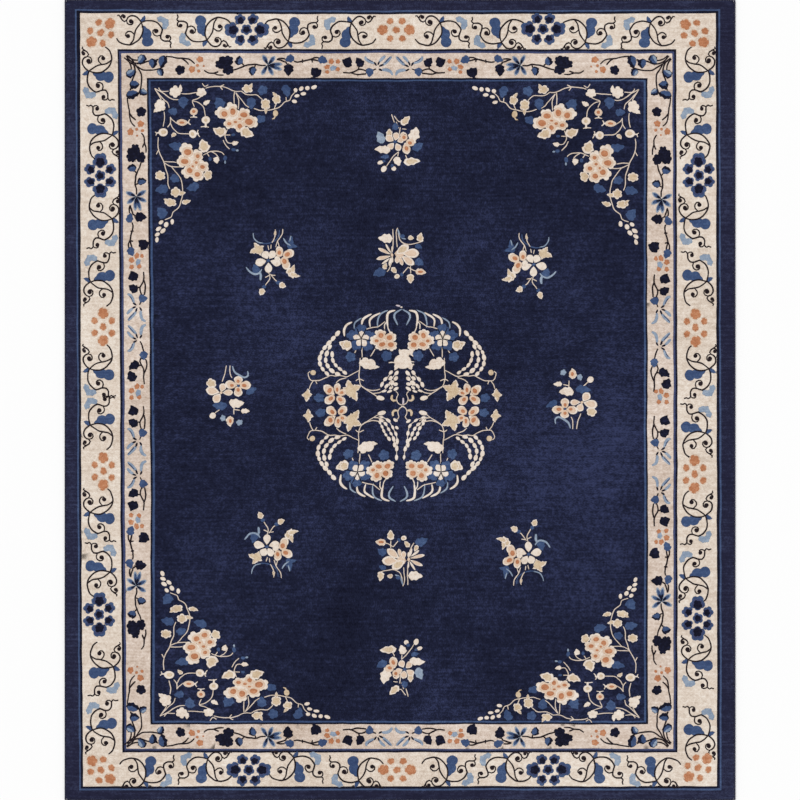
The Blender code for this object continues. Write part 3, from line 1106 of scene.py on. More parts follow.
@dataclass(frozen=True)
class Rosette:
    """Seven little round flowers, set along an axis."""

    # A blue flower's layers: yarn, nearness to the rosette's middle, and reach each way.
    blue_layers: ClassVar[tuple[tuple[Yarn, float, float, float], ...]] = (
        (DENIM, 1.0, 1.02, 1.0), (HEATHER, 0.94, 0.78, 0.76), (INK, 0.89, 0.62, 0.60),
    )
    blue_reach: ClassVar[tuple[float, float]] = (7.4, 5.3)
    # A rust flower's peach halo, its rust disc and how far it is turned: large, small and the middle one.
    rust_flowers: ClassVar[tuple[tuple[Point, Point, float], ...]] = (
        ((5.9, 5.7), (5.3, 5.0), 12.0), ((3.9, 3.6), (3.3, 3.0), 40.0), ((4.4, 3.6), (3.8, 2.9), 0.0),
    )
    petals: ClassVar[int] = 5

    dye: Dye
    big_at: float
    small_at: Point

    def shapes(self) -> tuple[Shape, ...]:
        """The flowers: two large ones at the axis's ends, four small ones beside it and one in the middle."""
        big = [(side * self.big_at, 0.0) for side in (-1, 1)]
        small = [(a * self.small_at[0], b * self.small_at[1]) for a in (-1, 1) for b in (-1, 1)]
        middle = [(0.0, 0.0)]
        made: list[Shape] = []
        if self.dye is Dye.BLUE:
            for places, reach in zip((big, small + middle), self.blue_reach):
                for x, y in places:
                    turn = math.degrees(math.atan2(y, x)) if (x, y) != (0.0, 0.0) else 90.0
                    made += [
                        Ruffle(yarn, x * near, y * near, reach * long, reach * wide, self.petals, turn)
                        for yarn, near, long, wide in self.blue_layers
                    ]
        else:
            for places, (halo, disc, lean) in zip((big, small, middle), self.rust_flowers):
                for x, y in places:
                    made.append(Oval(PEACH, x, y, *halo))
                    made.append(Ruffle(RUST, x, y, *disc, self.petals, lean * uneven(x, y, 2)))
        return tuple(made)


@dataclass(frozen=True)
class MainBorder:
    """The wide ivory border: rosettes of seven little flowers, with vines curling between them."""

    # How far from a rosette's middle its large and its small flowers stand.
    spans: ClassVar[dict[Dye, tuple[float, Point]]] = {
        Dye.BLUE: (15.1, (6.5, 10.4)),
        Dye.RUST: (13.6, (6.2, 8.6)),
    }
    # Across, up and dye of the rosettes, whose axis runs up the two sides and along the two ends.
    upright: tuple[tuple[float, float, Dye], ...] = (
        (-299, 224, Dye.BLUE), (-296, 73, Dye.RUST), (-296, -71, Dye.RUST), (-300, -214, Dye.BLUE),
        (298, 224, Dye.BLUE), (295, 72, Dye.RUST), (294, -74, Dye.RUST), (297, -218, Dye.BLUE),
    )
    level: tuple[tuple[float, float, Dye], ...] = (
        (-153, 369.4, Dye.BLUE), (-3.8, 369.4, Dye.RUST), (143, 370.4, Dye.BLUE),
        (-151, -369, Dye.BLUE), (-3, -369, Dye.RUST), (148, -369, Dye.BLUE),
    )
    corner: tuple[Point, ...] = ((-298.5, 366.5), (294, 366), (-298, -369), (297.5, -367))
    corner_rosette: ClassVar[Rosette] = Rosette(Dye.RUST, big_at=12.7, small_at=(5.9, 8.8))

    # Where each vine group's stems cross, in order along its side.
    top_vines: tuple[Point, ...] = (
        (-258, 377), (-193, 359), (-111.5, 357.5), (-48.5, 376.4),
        (40, 376.5), (101, 357), (185, 357), (250, 376),
    )
    bottom_vines: tuple[Point, ...] = (
        (-255, -380), (-192, -358), (-106, -357), (-41, -380),
        (46, -379), (107, -358), (193, -358), (256, -380),
    )
    left_vines: tuple[Point, ...] = (
        (-310.3, 328.2), (-287.3, 264.6), (-287.3, 180.6), (-309, 118), (-309.7, 31.4),
        (-309, -25), (-309, -112), (-289.2, -171.7), (-286, -266), (-307, -329),
    )
    right_vines: tuple[Point, ...] = (
        (307.7, 328.3), (286.5, 264.5), (285, 181.7), (306, 118.3), (308.5, 31),
        (305, -33), (305, -115), (285, -178), (287.7, -259), (307.7, -335),
    )
    # Which groups lie near the border's outer edge, O, and which near its inner one, I.
    outer_level: str = "OIIOOIIO"
    outer_upright: str = "OIIOOOOIIO"

    def patches(self) -> list[Patch]:
        """The vines first, and the rosettes over them."""
        made = []
        for vines, outer, outward in (
            (self.top_vines, self.outer_level, (0.0, 1.0)),
            (self.bottom_vines, self.outer_level, (0.0, -1.0)),
            (self.left_vines, self.outer_upright, (-1.0, 0.0)),
            (self.right_vines, self.outer_upright, (1.0, 0.0)),
        ):
            forward = (1.0, 0.0) if outward[0] == 0 else (0.0, -1.0)
            for i, ((x, y), place) in enumerate(zip(vines, outer)):
                away = 1.0 if i % 2 == 0 else -1.0
                inward = -1.0 if place == "O" else 1.0
                made += Placement(
                    x, y,
                    along=(forward[0] * away, forward[1] * away),
                    across=(outward[0] * inward, outward[1] * inward),
                ).put(BORDER_VINE)
        for x, y, dye in self.level:
            made += Placement(x, y).put(Rosette(dye, *self.spans[dye]).shapes())
        for x, y, dye in self.upright:
            made += Placement(x, y, (0.0, 1.0), (1.0, 0.0)).put(Rosette(dye, *self.spans[dye]).shapes())
        slant = math.sqrt(0.5)
        for x, y in self.corner:
            lean = -math.copysign(slant, x * y)
            across = (-lean, slant)
            made += Placement(x, y, (slant, lean), across).put(self.corner_rosette.shapes())
        return made


@dataclass(frozen=True)
class InnerBorder:
    """The narrow border: butterfly pairs with leafy runs between them, and a sprig at each corner."""

    left_line: float = -262.7
    right_line: float = 260.7
    top_line: float = 333.5
    bottom_line: float = -336.0
    level_middle: float = -6.0
    # On each side, down from the top: where the run to the corner starts, the short one after it, the
    # blossom halfway, the next short run and the run to the lower corner. No two are spaced alike.
    left_places: tuple[float, ...] = (77.0, 77.0, 7.5, -57.3, -59.3)
    right_places: tuple[float, ...] = (74.7, 69.7, 3.1, -67.0, -75.0)
    corner_x: Point = (-278.0, 273.0)
    corner_y: Point = (346.0, -348.0)
    # How far from a pair's middle its run's rust blossom and daisy stand.
    blossom_away: float = 61.0
    daisy_at: Point = (125.8, -0.5)
    # A daisy petal's yarns from below: share of its length, and width.
    daisy_layers: ClassVar[tuple[tuple[Yarn, float, float], ...]] = (
        (SKY, 1.0, 4.3), (DENIM, 0.86, 3.0), (INK, 0.52, 2.1),
    )

    def full_run(self) -> tuple[Shape, ...]:
        """What stands between a butterfly pair's middle and the sprig at the corner."""
        x, y = self.daisy_at
        daisy = tuple(
            Petal(yarn, (x, y), (x + tip_x * long, y + tip_y * long), wide)
            for yarn, long, wide in self.daisy_layers
            for tip_x, tip_y in DAISY_TIPS
        )
        return BUTTERFLY + NEAR_LEAVES + FAR_LEAVES + daisy

    def patches(self) -> list[Patch]:
        """The runs, the blossoms and the corner sprigs."""
        made = []
        for line, inward in ((self.top_line, -1.0), (self.bottom_line, 1.0)):
            for way in (-1.0, 1.0):
                place = Placement(self.level_middle, line, (way, 0.0), (0.0, inward))
                made += place.put(self.full_run())
                blossom_x = self.level_middle + self.blossom_away * way
                made += Placement(blossom_x, line + inward, (way, 0.0), (0.0, inward)).put(SMALL_BLOSSOM)
        for line, inward, places in (
            (self.left_line, 1.0, self.left_places), (self.right_line, -1.0, self.right_places),
        ):
            top, upper, middle, lower, bottom = places
            for start, way, chart in (
                (top, 1.0, self.full_run()),
                (upper, -1.0, BUTTERFLY + SHORT_LEAVES),
                (middle, 1.0, SMALL_BLOSSOM),
                (lower, 1.0, BUTTERFLY + NEAR_LEAVES),
                (bottom, -1.0, self.full_run()),
                (top + self.blossom_away, 1.0, SMALL_BLOSSOM),
                (bottom - self.blossom_away, -1.0, SMALL_BLOSSOM),
            ):
                made += Placement(line, start, (0.0, way), (inward, 0.0)).put(chart)
        for corner_y, line_y, down in (
            (self.corner_y[0], self.top_line, -1.0), (self.corner_y[1], self.bottom_line, 1.0),
        ):
            for corner_x, line_x, inward in (
                (self.corner_x[0], self.left_line, 1.0), (self.corner_x[1], self.right_line, -1.0),
            ):
                made += Placement(corner_x, line_y, (inward, 0.0), (0.0, down)).put(SPRIG_ARM)
                made += Placement(line_x, corner_y, (0.0, down), (inward, 0.0)).put(SPRIG_ARM)
        return made


@dataclass(frozen=True)
class FieldFlowers:
    """What stands on the navy field: the medallion, ten bouquets and four corner sprays."""

    medallion: Point = (1.5, -4.0)
    # The hand-tied quarters of the medallion are not quite alike, and the lower ones lean to the left.
    quarters: tuple[Placement, ...] = (
        Placement(1.5, -4.0),
        Placement(2.8, -4.0, (-1.0, 0.0)),
        Placement(3.4, -7.0, (1.0, 0.0), (-0.085, -1.0)),
        Placement(1.8, -7.0, (-1.0, 0.0), (-0.015, -1.0)),
    )
    # The sprays at the field's corners, each mirrored and a little longer or shorter than the first.
    corners: tuple[Placement, ...] = (
        Placement(-247.3, 317.0),
        Placement(241.0, 316.2, (-1.03, 0.0), (0.0, 1.01)),
        Placement(-242.0, -321.0, (1.05, 0.0), (0.0, -0.94)),
        Placement(241.5, -322.5, (-1.0, 0.0), (0.01, -0.91)),
    )
    # Each bouquet's middle, across and up, and which way it is mirrored.
    quarter_bouquets: tuple[Mirrored, ...] = (
        (-127, 137, 1, 1), (129, 133, -1, 1), (-128.4, -144, 1, -1), (123.5, -151.5, -1, -1),
    )
    centre_bouquets: tuple[Mirrored, ...] = ((0, 142, 1, 1), (1, -156, -1, -1))
    end_bouquets: tuple[Mirrored, ...] = ((-2, 257, 1, 1), (2, -268, -1, -1))
    side_bouquets: tuple[Mirrored, ...] = ((-167, 7, 1, 1), (170, -2, -1, -1))

    def patches(self) -> list[Patch]:
        """Every motif of the field."""
        made = []
        for chart, places in (
            (CORNER_BOUQUET, self.quarter_bouquets),
            (CENTRE_BOUQUET, self.centre_bouquets),
            (END_BOUQUET, self.end_bouquets),
            (SIDE_BOUQUET, self.side_bouquets),
            (MEDALLION_CROWN, ((*self.medallion, 1, 1),)),
            (MEDALLION_FOOT, ((*self.medallion, 1, 1),)),
        ):
            for x, y, flip_x, flip_y in places:
                made += Placement(x, y, (flip_x, 0.0), (0.0, flip_y)).put(chart)
        for corner in self.corners:
            made += corner.put(CORNER_SPRAY)
        for i, quarter in enumerate(self.quarters):
            made += quarter.put(MEDALLION_QUARTER + (CROWN_BUNCH if i < 2 else ()))
        return made


@dataclass(frozen=True)
class WeaversHand:
    """How the hand-tied pattern strays from its chart, so that no two repeats are quite alike."""

    # How far a point strays and over what stretch: slowly along a line, and from one knot to the next few.
    strays: tuple[Point, ...] = ((0.50, 26.0), (0.38, 4.6))
    seed: float = 4.7

    def moved(self, x: float, y: float) -> Point:
        """Where a charted point really lies, in knots."""
        move_x, move_y = 0.0, 0.0
        for stray, wander in self.strays:
            move_x += stray * noise.noise(Vector((x / wander, y / wander, self.seed)))
            move_y += stray * noise.noise(Vector((y / wander, x / wander, self.seed + 9.0)))
        return x + move_x, y + move_y


@dataclass(frozen=True)
class YarnColour:
    """A yarn's shades as sRGB hex, and how far its colour strays."""

    shade: str
    body: str
    tip: str
    cloud: float = 0.5
    streak: float = 0.5
    knot: float = 0.8


def linear(colour: str) -> tuple[float, float, float, float]:
    """A colour for a shader socket.

    Args:
        colour: the sRGB colour as six hex digits.

    Returns:
        Red, green, blue and alpha, linear.
    """
    parts = [int(colour[i:i + 2], 16) / 255 for i in (0, 2, 4)]
    made = [p / 12.92 if p <= 0.04045 else ((p + 0.055) / 1.055) ** 2.4 for p in parts]
    return made[0], made[1], made[2], 1.0


def add_node(tree: NodeTree, kind: str, settings: dict[str, Any],
             links: dict[str | int, NodeSocket]) -> Node:
    """Add a shader node with its settings and its links.

    Args:
        tree: the node tree.
        kind: the node's Blender type.
        settings: values by the name of an input socket, or of a property of the node.
        links: output sockets by the name, or the number, of the input that they feed.

    Returns:
        The new node.
    """
    made = tree.nodes.new(kind)
    for name, value in settings.items():
        if name in made.inputs:
            made.inputs[name].default_value = value
        else:
            setattr(made, name, value)
    for name, socket in links.items():
        tree.links.new(socket, made.inputs[name])
    return made


def new_material(name: str) -> tuple[Material, Node, NodeSocket]:
    """Start a finish.

    Args:
        name: the finish's name.

    Returns:
        The material, its surface shader and the object's own coordinates in metres.
    """
    made = bpy.data.materials.new(name)
    made.use_nodes = True
    place = add_node(made.node_tree, "ShaderNodeTexCoord", {}, {}).outputs["Object"]
    return made, made.node_tree.nodes["Principled BSDF"], place


def add_noise(tree: NodeTree, place: NodeSocket, size: float, detail: float) -> NodeSocket:
    """Add a cloudy noise.

    Args:
        tree: the node tree.
        place: the coordinates.
        size: the real size of a cloud, in metres.
        detail: how many finer layers it has.

    Returns:
        The noise, from 0 to 1.
    """
    settings = {"Scale": 1 / size, "Detail": detail}
    return add_node(tree, "ShaderNodeTexNoise", settings, {"Vector": place}).outputs["Fac"]


def add_shades(tree: NodeTree, share: NodeSocket, colours: YarnColour) -> NodeSocket:
    """Turn a number into a yarn's colour.

    Args:
        tree: the node tree.
        share: the number, from 0 for the shade to 1 for the tip.
        colours: the yarn's shades.

    Returns:
        The colour.
    """
    ramp = add_node(tree, "ShaderNodeValToRGB", {}, {"Fac": share})
    stops = ramp.color_ramp.elements
    stops[0].color = linear(colours.shade)
    stops[1].color = linear(colours.tip)
    stops.new(0.5).color = linear(colours.body)
    return ramp.outputs["Color"]


def add_relief(tree: NodeTree, shader: Node, height: NodeSocket, depth: float, strength: float) -> None:
    """Give a finish its fine relief.

    Args:
        tree: the node tree.
        shader: the surface shader.
        height: the relief, from 0 to 1.
        depth: how deep it is, in metres.
        strength: how much of it shows.
    """
    settings = {"Strength": strength, "Distance": depth}
    bump = add_node(tree, "ShaderNodeBump", settings, {"Height": height})
    tree.links.new(bump.outputs["Normal"], shader.inputs["Normal"])


def set_gloss(shader: Node, roughness: float, specular: float) -> None:
    """Set how matt a surface is, on its shader's own sockets."""
    shader.inputs["Roughness"].default_value = roughness
    shader.inputs["Specular IOR Level"].default_value = specular


def new_object(name: str, mesh: Mesh) -> Object:
    """Put a mesh into the scene as an object of the given name."""
    made = bpy.data.objects.new(name, mesh)
    bpy.context.scene.collection.objects.link(made)
    return made


def rim_edges(triangles: np.ndarray) -> list[tuple[int, int]]:
    """The edges that only one triangle has, each the way that its triangle runs."""
    ways = dict.fromkeys(edge for a, b, c in triangles for edge in ((a, b), (b, c), (c, a)))
    return [edge for edge in ways if (edge[1], edge[0]) not in ways]


YARN_COLOURS: dict[Yarn, YarnColour] = {
    NAVY: YarnColour("0d0f21", "1c2037", "353c5f", 1.3, 0.9, 1.5),
    BAND: YarnColour("151527", "23243b", "404766", 1.0, 0.9, 0.9),
    GUARD: YarnColour("2a3653", "415173", "5a6e96", 0.6, 0.5, 1.0),
    INK: YarnColour("0a0a16", "141424", "2c3150", 0.5, 0.5, 0.9),
    GROUND: YarnColour("b6a391", "decfc0", "fbf4ea", 0.9, 0.7, 1.2),
    INNER: YarnColour("a8917e", "d4c2b4", "f8ece2", 0.9, 0.7, 1.2),
    HEATHER: YarnColour("272d4b", "40476a", "5b688f", 0.6, 0.5, 0.9),
    IVORY: YarnColour("c1a791", "e5d7c9", "f8f0e8", 0.7, 0.5, 1.1),
    TAN: YarnColour("a68766", "d0ba9d", "e8d7c0", 0.7, 0.4, 1.1),
    TWIG: YarnColour("a3917f", "d8c7b7", "ece0d4", 0.5, 0.4, 0.9),
    PALE: YarnColour("a094a0", "cdc0c6", "e4dade", 0.5, 0.4, 0.9),
    RUST: YarnColour("8f583b", "b97b58", "d7a684", 0.8, 0.5, 1.2),
    PEACH: YarnColour("bb9c82", "dbc1aa", "ecdac9", 0.6, 0.4, 0.9),
    SKY: YarnColour("667793", "8b9aad", "b6c1ce", 0.8, 0.5, 1.1),
    DENIM: YarnColour("26355a", "3d4f73", "5c7299", 0.9, 0.6, 1.0),
    VINE: YarnColour("120d12", "1f171c", "45383c", 0.4, 0.4, 0.9),
}


@dataclass(frozen=True)
class SoftSpot:
    """A large patch of the field painted lighter or darker: painted light and shade where the pile leans
    another way, partly the dye's own uneven tone.
    """

    x: float
    y: float
    reach_x: float
    reach_y: float
    lift: float


# Large soft spots of painted light and shade on the navy field, partly uneven dye: middle and reach in
# metres, and lift, lighter above 0.
FIELD_SPOTS: tuple[SoftSpot, ...] = (
    SoftSpot(0.55, -0.22, 0.55, 0.65, 0.17),
    SoftSpot(0.00, 0.75, 0.90, 0.35, -0.14),
    SoftSpot(-0.25, -0.85, 0.50, 0.40, -0.14),
    SoftSpot(-0.76, 0.31, 0.35, 0.50, -0.10),
    SoftSpot(-0.65, -0.50, 0.35, 0.40, 0.08),
    SoftSpot(-0.30, 0.05, 0.45, 0.45, 0.06),
)


@dataclass(frozen=True)
class WoolPile:
    """Hand-spun wool, cut to a short pile.

    It is matt and soft: it has a broad sheen where the tufts lean, no clear highlight, and a mottled colour,
    because each knot took the dye a little differently and the rows of weft show as faint level streaks.
    On the navy field a few large soft spots are painted lighter or darker: painted light and shade of the
    leaning pile, partly uneven dye.
    """

    yarn: Yarn
    roughness: float = 0.95
    specular: float = 0.04
    sheen: float = 0.04
    sheen_roughness: float = 0.6
    # Real sizes in metres: clouds of dye across the rug, smaller ones, the weft rows, the uneven spinning
    # along a few knots, and the fibre ends of a tuft.
    cloud_size: float = 0.55
    patch_size: float = 0.09
    row_length: float = 0.12
    row_height: float = 2.2 * KNOT
    slub_size: float = 4 * KNOT
    fibre_size: float = 0.0011
    tuft_depth: float = 0.0007
    tuft_stray: float = 0.55
    tuft_show: float = 0.6

    def material(self) -> Material:
        """Make the material.

        Returns:
            The yarn's wool pile.
        """
        colours = YARN_COLOURS[self.yarn]
        made, shader, place = new_material(f"wool_pile_{self.yarn.value}")
        tree = made.node_tree
        rows = add_node(tree, "ShaderNodeMapping", {"Scale": (1 / self.row_length, 1 / self.row_height, 1.0)},
                        {"Vector": place})
        knots = add_node(tree, "ShaderNodeVectorMath", {"operation": "SNAP"}, {0: place})
        knots.inputs[1].default_value = (KNOT, KNOT, 1.0)
        a_knot = add_node(tree, "ShaderNodeTexWhiteNoise", {}, {"Vector": knots.outputs["Vector"]})
        sources = (
            (add_noise(tree, place, self.cloud_size, 3.0), 0.60 * colours.cloud),
            (add_noise(tree, place, self.patch_size, 3.0), 0.35 * colours.cloud),
            (add_noise(tree, rows.outputs["Vector"], 1.0, 2.0), 0.70 * colours.streak),
            (a_knot.outputs["Value"], 0.24 * colours.knot),
            (add_noise(tree, place, self.slub_size, 4.0), 0.55 * colours.knot),
        )
        total = None
        for socket, share in sources:
            mixed = add_node(tree, "ShaderNodeMath", {"operation": "MULTIPLY_ADD"}, {0: socket})
            mixed.inputs[1].default_value = share
            if total is None:
                mixed.inputs[2].default_value = 0.5 - sum(s for _, s in sources) / 2
            else:
                tree.links.new(total, mixed.inputs[2])
            total = mixed.outputs["Value"]
        # Only the navy field is painted with the large soft spots of light and shade where its pile leans.
        if self.yarn is Yarn.NAVY:
            total = self.painted_nap_shade(tree, place, total)
        tree.links.new(add_shades(tree, total, colours), shader.inputs["Base Color"])
        tufts = add_node(tree, "ShaderNodeTexVoronoi", {"Scale": 1 / KNOT, "Randomness": self.tuft_stray},
                         {"Vector": place})
        fibres = add_noise(tree, place, self.fibre_size, 2.0)
        height = add_node(tree, "ShaderNodeMath", {"operation": "SUBTRACT"},
                          {0: fibres, 1: tufts.outputs["Distance"]})
        add_relief(tree, shader, height.outputs["Value"], self.tuft_depth, self.tuft_show)
        set_gloss(shader, self.roughness, self.specular)
        shader.inputs["Sheen Weight"].default_value = self.sheen
        shader.inputs["Sheen Roughness"].default_value = self.sheen_roughness
        return made

    def painted_nap_shade(self, tree: NodeTree, place: NodeSocket, total: NodeSocket) -> NodeSocket:
        """Paint a few large soft spots of the field lighter or darker: painted light and shade of the leaning
        pile, partly uneven dye.

        Args:
            tree: the material's node tree.
            place: the object coordinates.
            total: the shade so far, 0 dark to 1 light.

        Returns:
            The shade with the soft spots in it.
        """
        for spot in FIELD_SPOTS:
            moved = add_node(tree, "ShaderNodeMapping", {
                "vector_type": "TEXTURE",
                "Location": (spot.x, spot.y, 0.0),
                "Scale": (spot.reach_x, spot.reach_y, 1.0),
            }, {"Vector": place})
            fade = add_node(tree, "ShaderNodeTexGradient", {"gradient_type": "QUADRATIC_SPHERE"},
                            {"Vector": moved.outputs["Vector"]})
            lifted = add_node(tree, "ShaderNodeMath", {"operation": "MULTIPLY_ADD"},
                              {0: fade.outputs["Fac"], 2: total})
            lifted.inputs[1].default_value = spot.lift
            total = lifted.outputs["Value"]
        return total


@dataclass(frozen=True)
class KnotBacks:
    """The backs of the knots, seen from below: small flat loops of the same yarn in straight rows.

    It is matt and close, with a fine even grid of ridges and thin cotton wefts showing between the rows.
    """

    yarn: Yarn
    roughness: float = 0.9
    specular: float = 0.15
    ridge_depth: float = 0.0004
    ridge_show: float = 0.7
    slub_size: float = 5 * KNOT
    # The cotton weft's colour, how much of it shows, and how far up a ridge.
    cotton: str = "b9ad98"
    cotton_share: float = 0.16
    cotton_rise: float = 0.25

    def material(self) -> Material:
        """Make the material.

        Returns:
            The yarn's knot backs.
        """
        colours = YARN_COLOURS[self.yarn]
        made, shader, place = new_material(f"knot_backs_{self.yarn.value}")
        tree = made.node_tree
        # A wave's own period is 2 pi / 20 of its scale, and a knot shows as two loops across and one row up.
        period = math.pi / 10
        across, upward = (
            add_node(tree, "ShaderNodeTexWave", {"bands_direction": way, "Scale": period / size},
                     {"Vector": place}).outputs["Fac"]
            for way, size in (("X", KNOT / 2), ("Y", KNOT))
        )
        grid = add_node(tree, "ShaderNodeMath", {"operation": "MULTIPLY"}, {0: across, 1: upward})
        weft = add_node(tree, "ShaderNodeMapRange", {
            "From Min": 0.0, "From Max": self.cotton_rise, "To Min": self.cotton_share, "To Max": 0.0,
        }, {"Value": upward})
        shades = add_noise(tree, place, self.slub_size, 4.0)
        mixed = add_node(tree, "ShaderNodeMix", {"data_type": "RGBA"}, {})
        # The sockets of a mix of colours: how much of the second, the first and the second.
        factor, wool, cotton = mixed.inputs[0], mixed.inputs[6], mixed.inputs[7]
        tree.links.new(weft.outputs["Result"], factor)
        tree.links.new(add_shades(tree, shades, colours), wool)
        cotton.default_value = linear(self.cotton)
        tree.links.new(mixed.outputs[2], shader.inputs["Base Color"])
        add_relief(tree, shader, grid.outputs["Value"], self.ridge_depth, self.ridge_show)
        set_gloss(shader, self.roughness, self.specular)
        return made


@dataclass(frozen=True)
class WrappedWool:
    """Two-ply wool yarn wound tight round an edge cord: matt, ridged turn by turn, a little uneven in dye."""

    colours: YarnColour = YarnColour("191929", "2a2b3f", "454961")
    roughness: float = 0.9
    specular: float = 0.15
    sheen: float = 0.1
    turn_size: float = 3 * KNOT
    ply_size: float = 0.0012
    ply_depth: float = 0.0004
    ply_show: float = 0.5

    def material(self) -> Material:
        """Make the material.

        Returns:
            The edge's wrapped yarn.
        """
        made, shader, place = new_material("wrapped_wool_navy")
        tree = made.node_tree
        turns = add_noise(tree, place, self.turn_size, 4.0)
        tree.links.new(add_shades(tree, turns, self.colours), shader.inputs["Base Color"])
        add_relief(tree, shader, add_noise(tree, place, self.ply_size, 3.0), self.ply_depth, self.ply_show)
        set_gloss(shader, self.roughness, self.specular)
        shader.inputs["Sheen Weight"].default_value = self.sheen
        return made


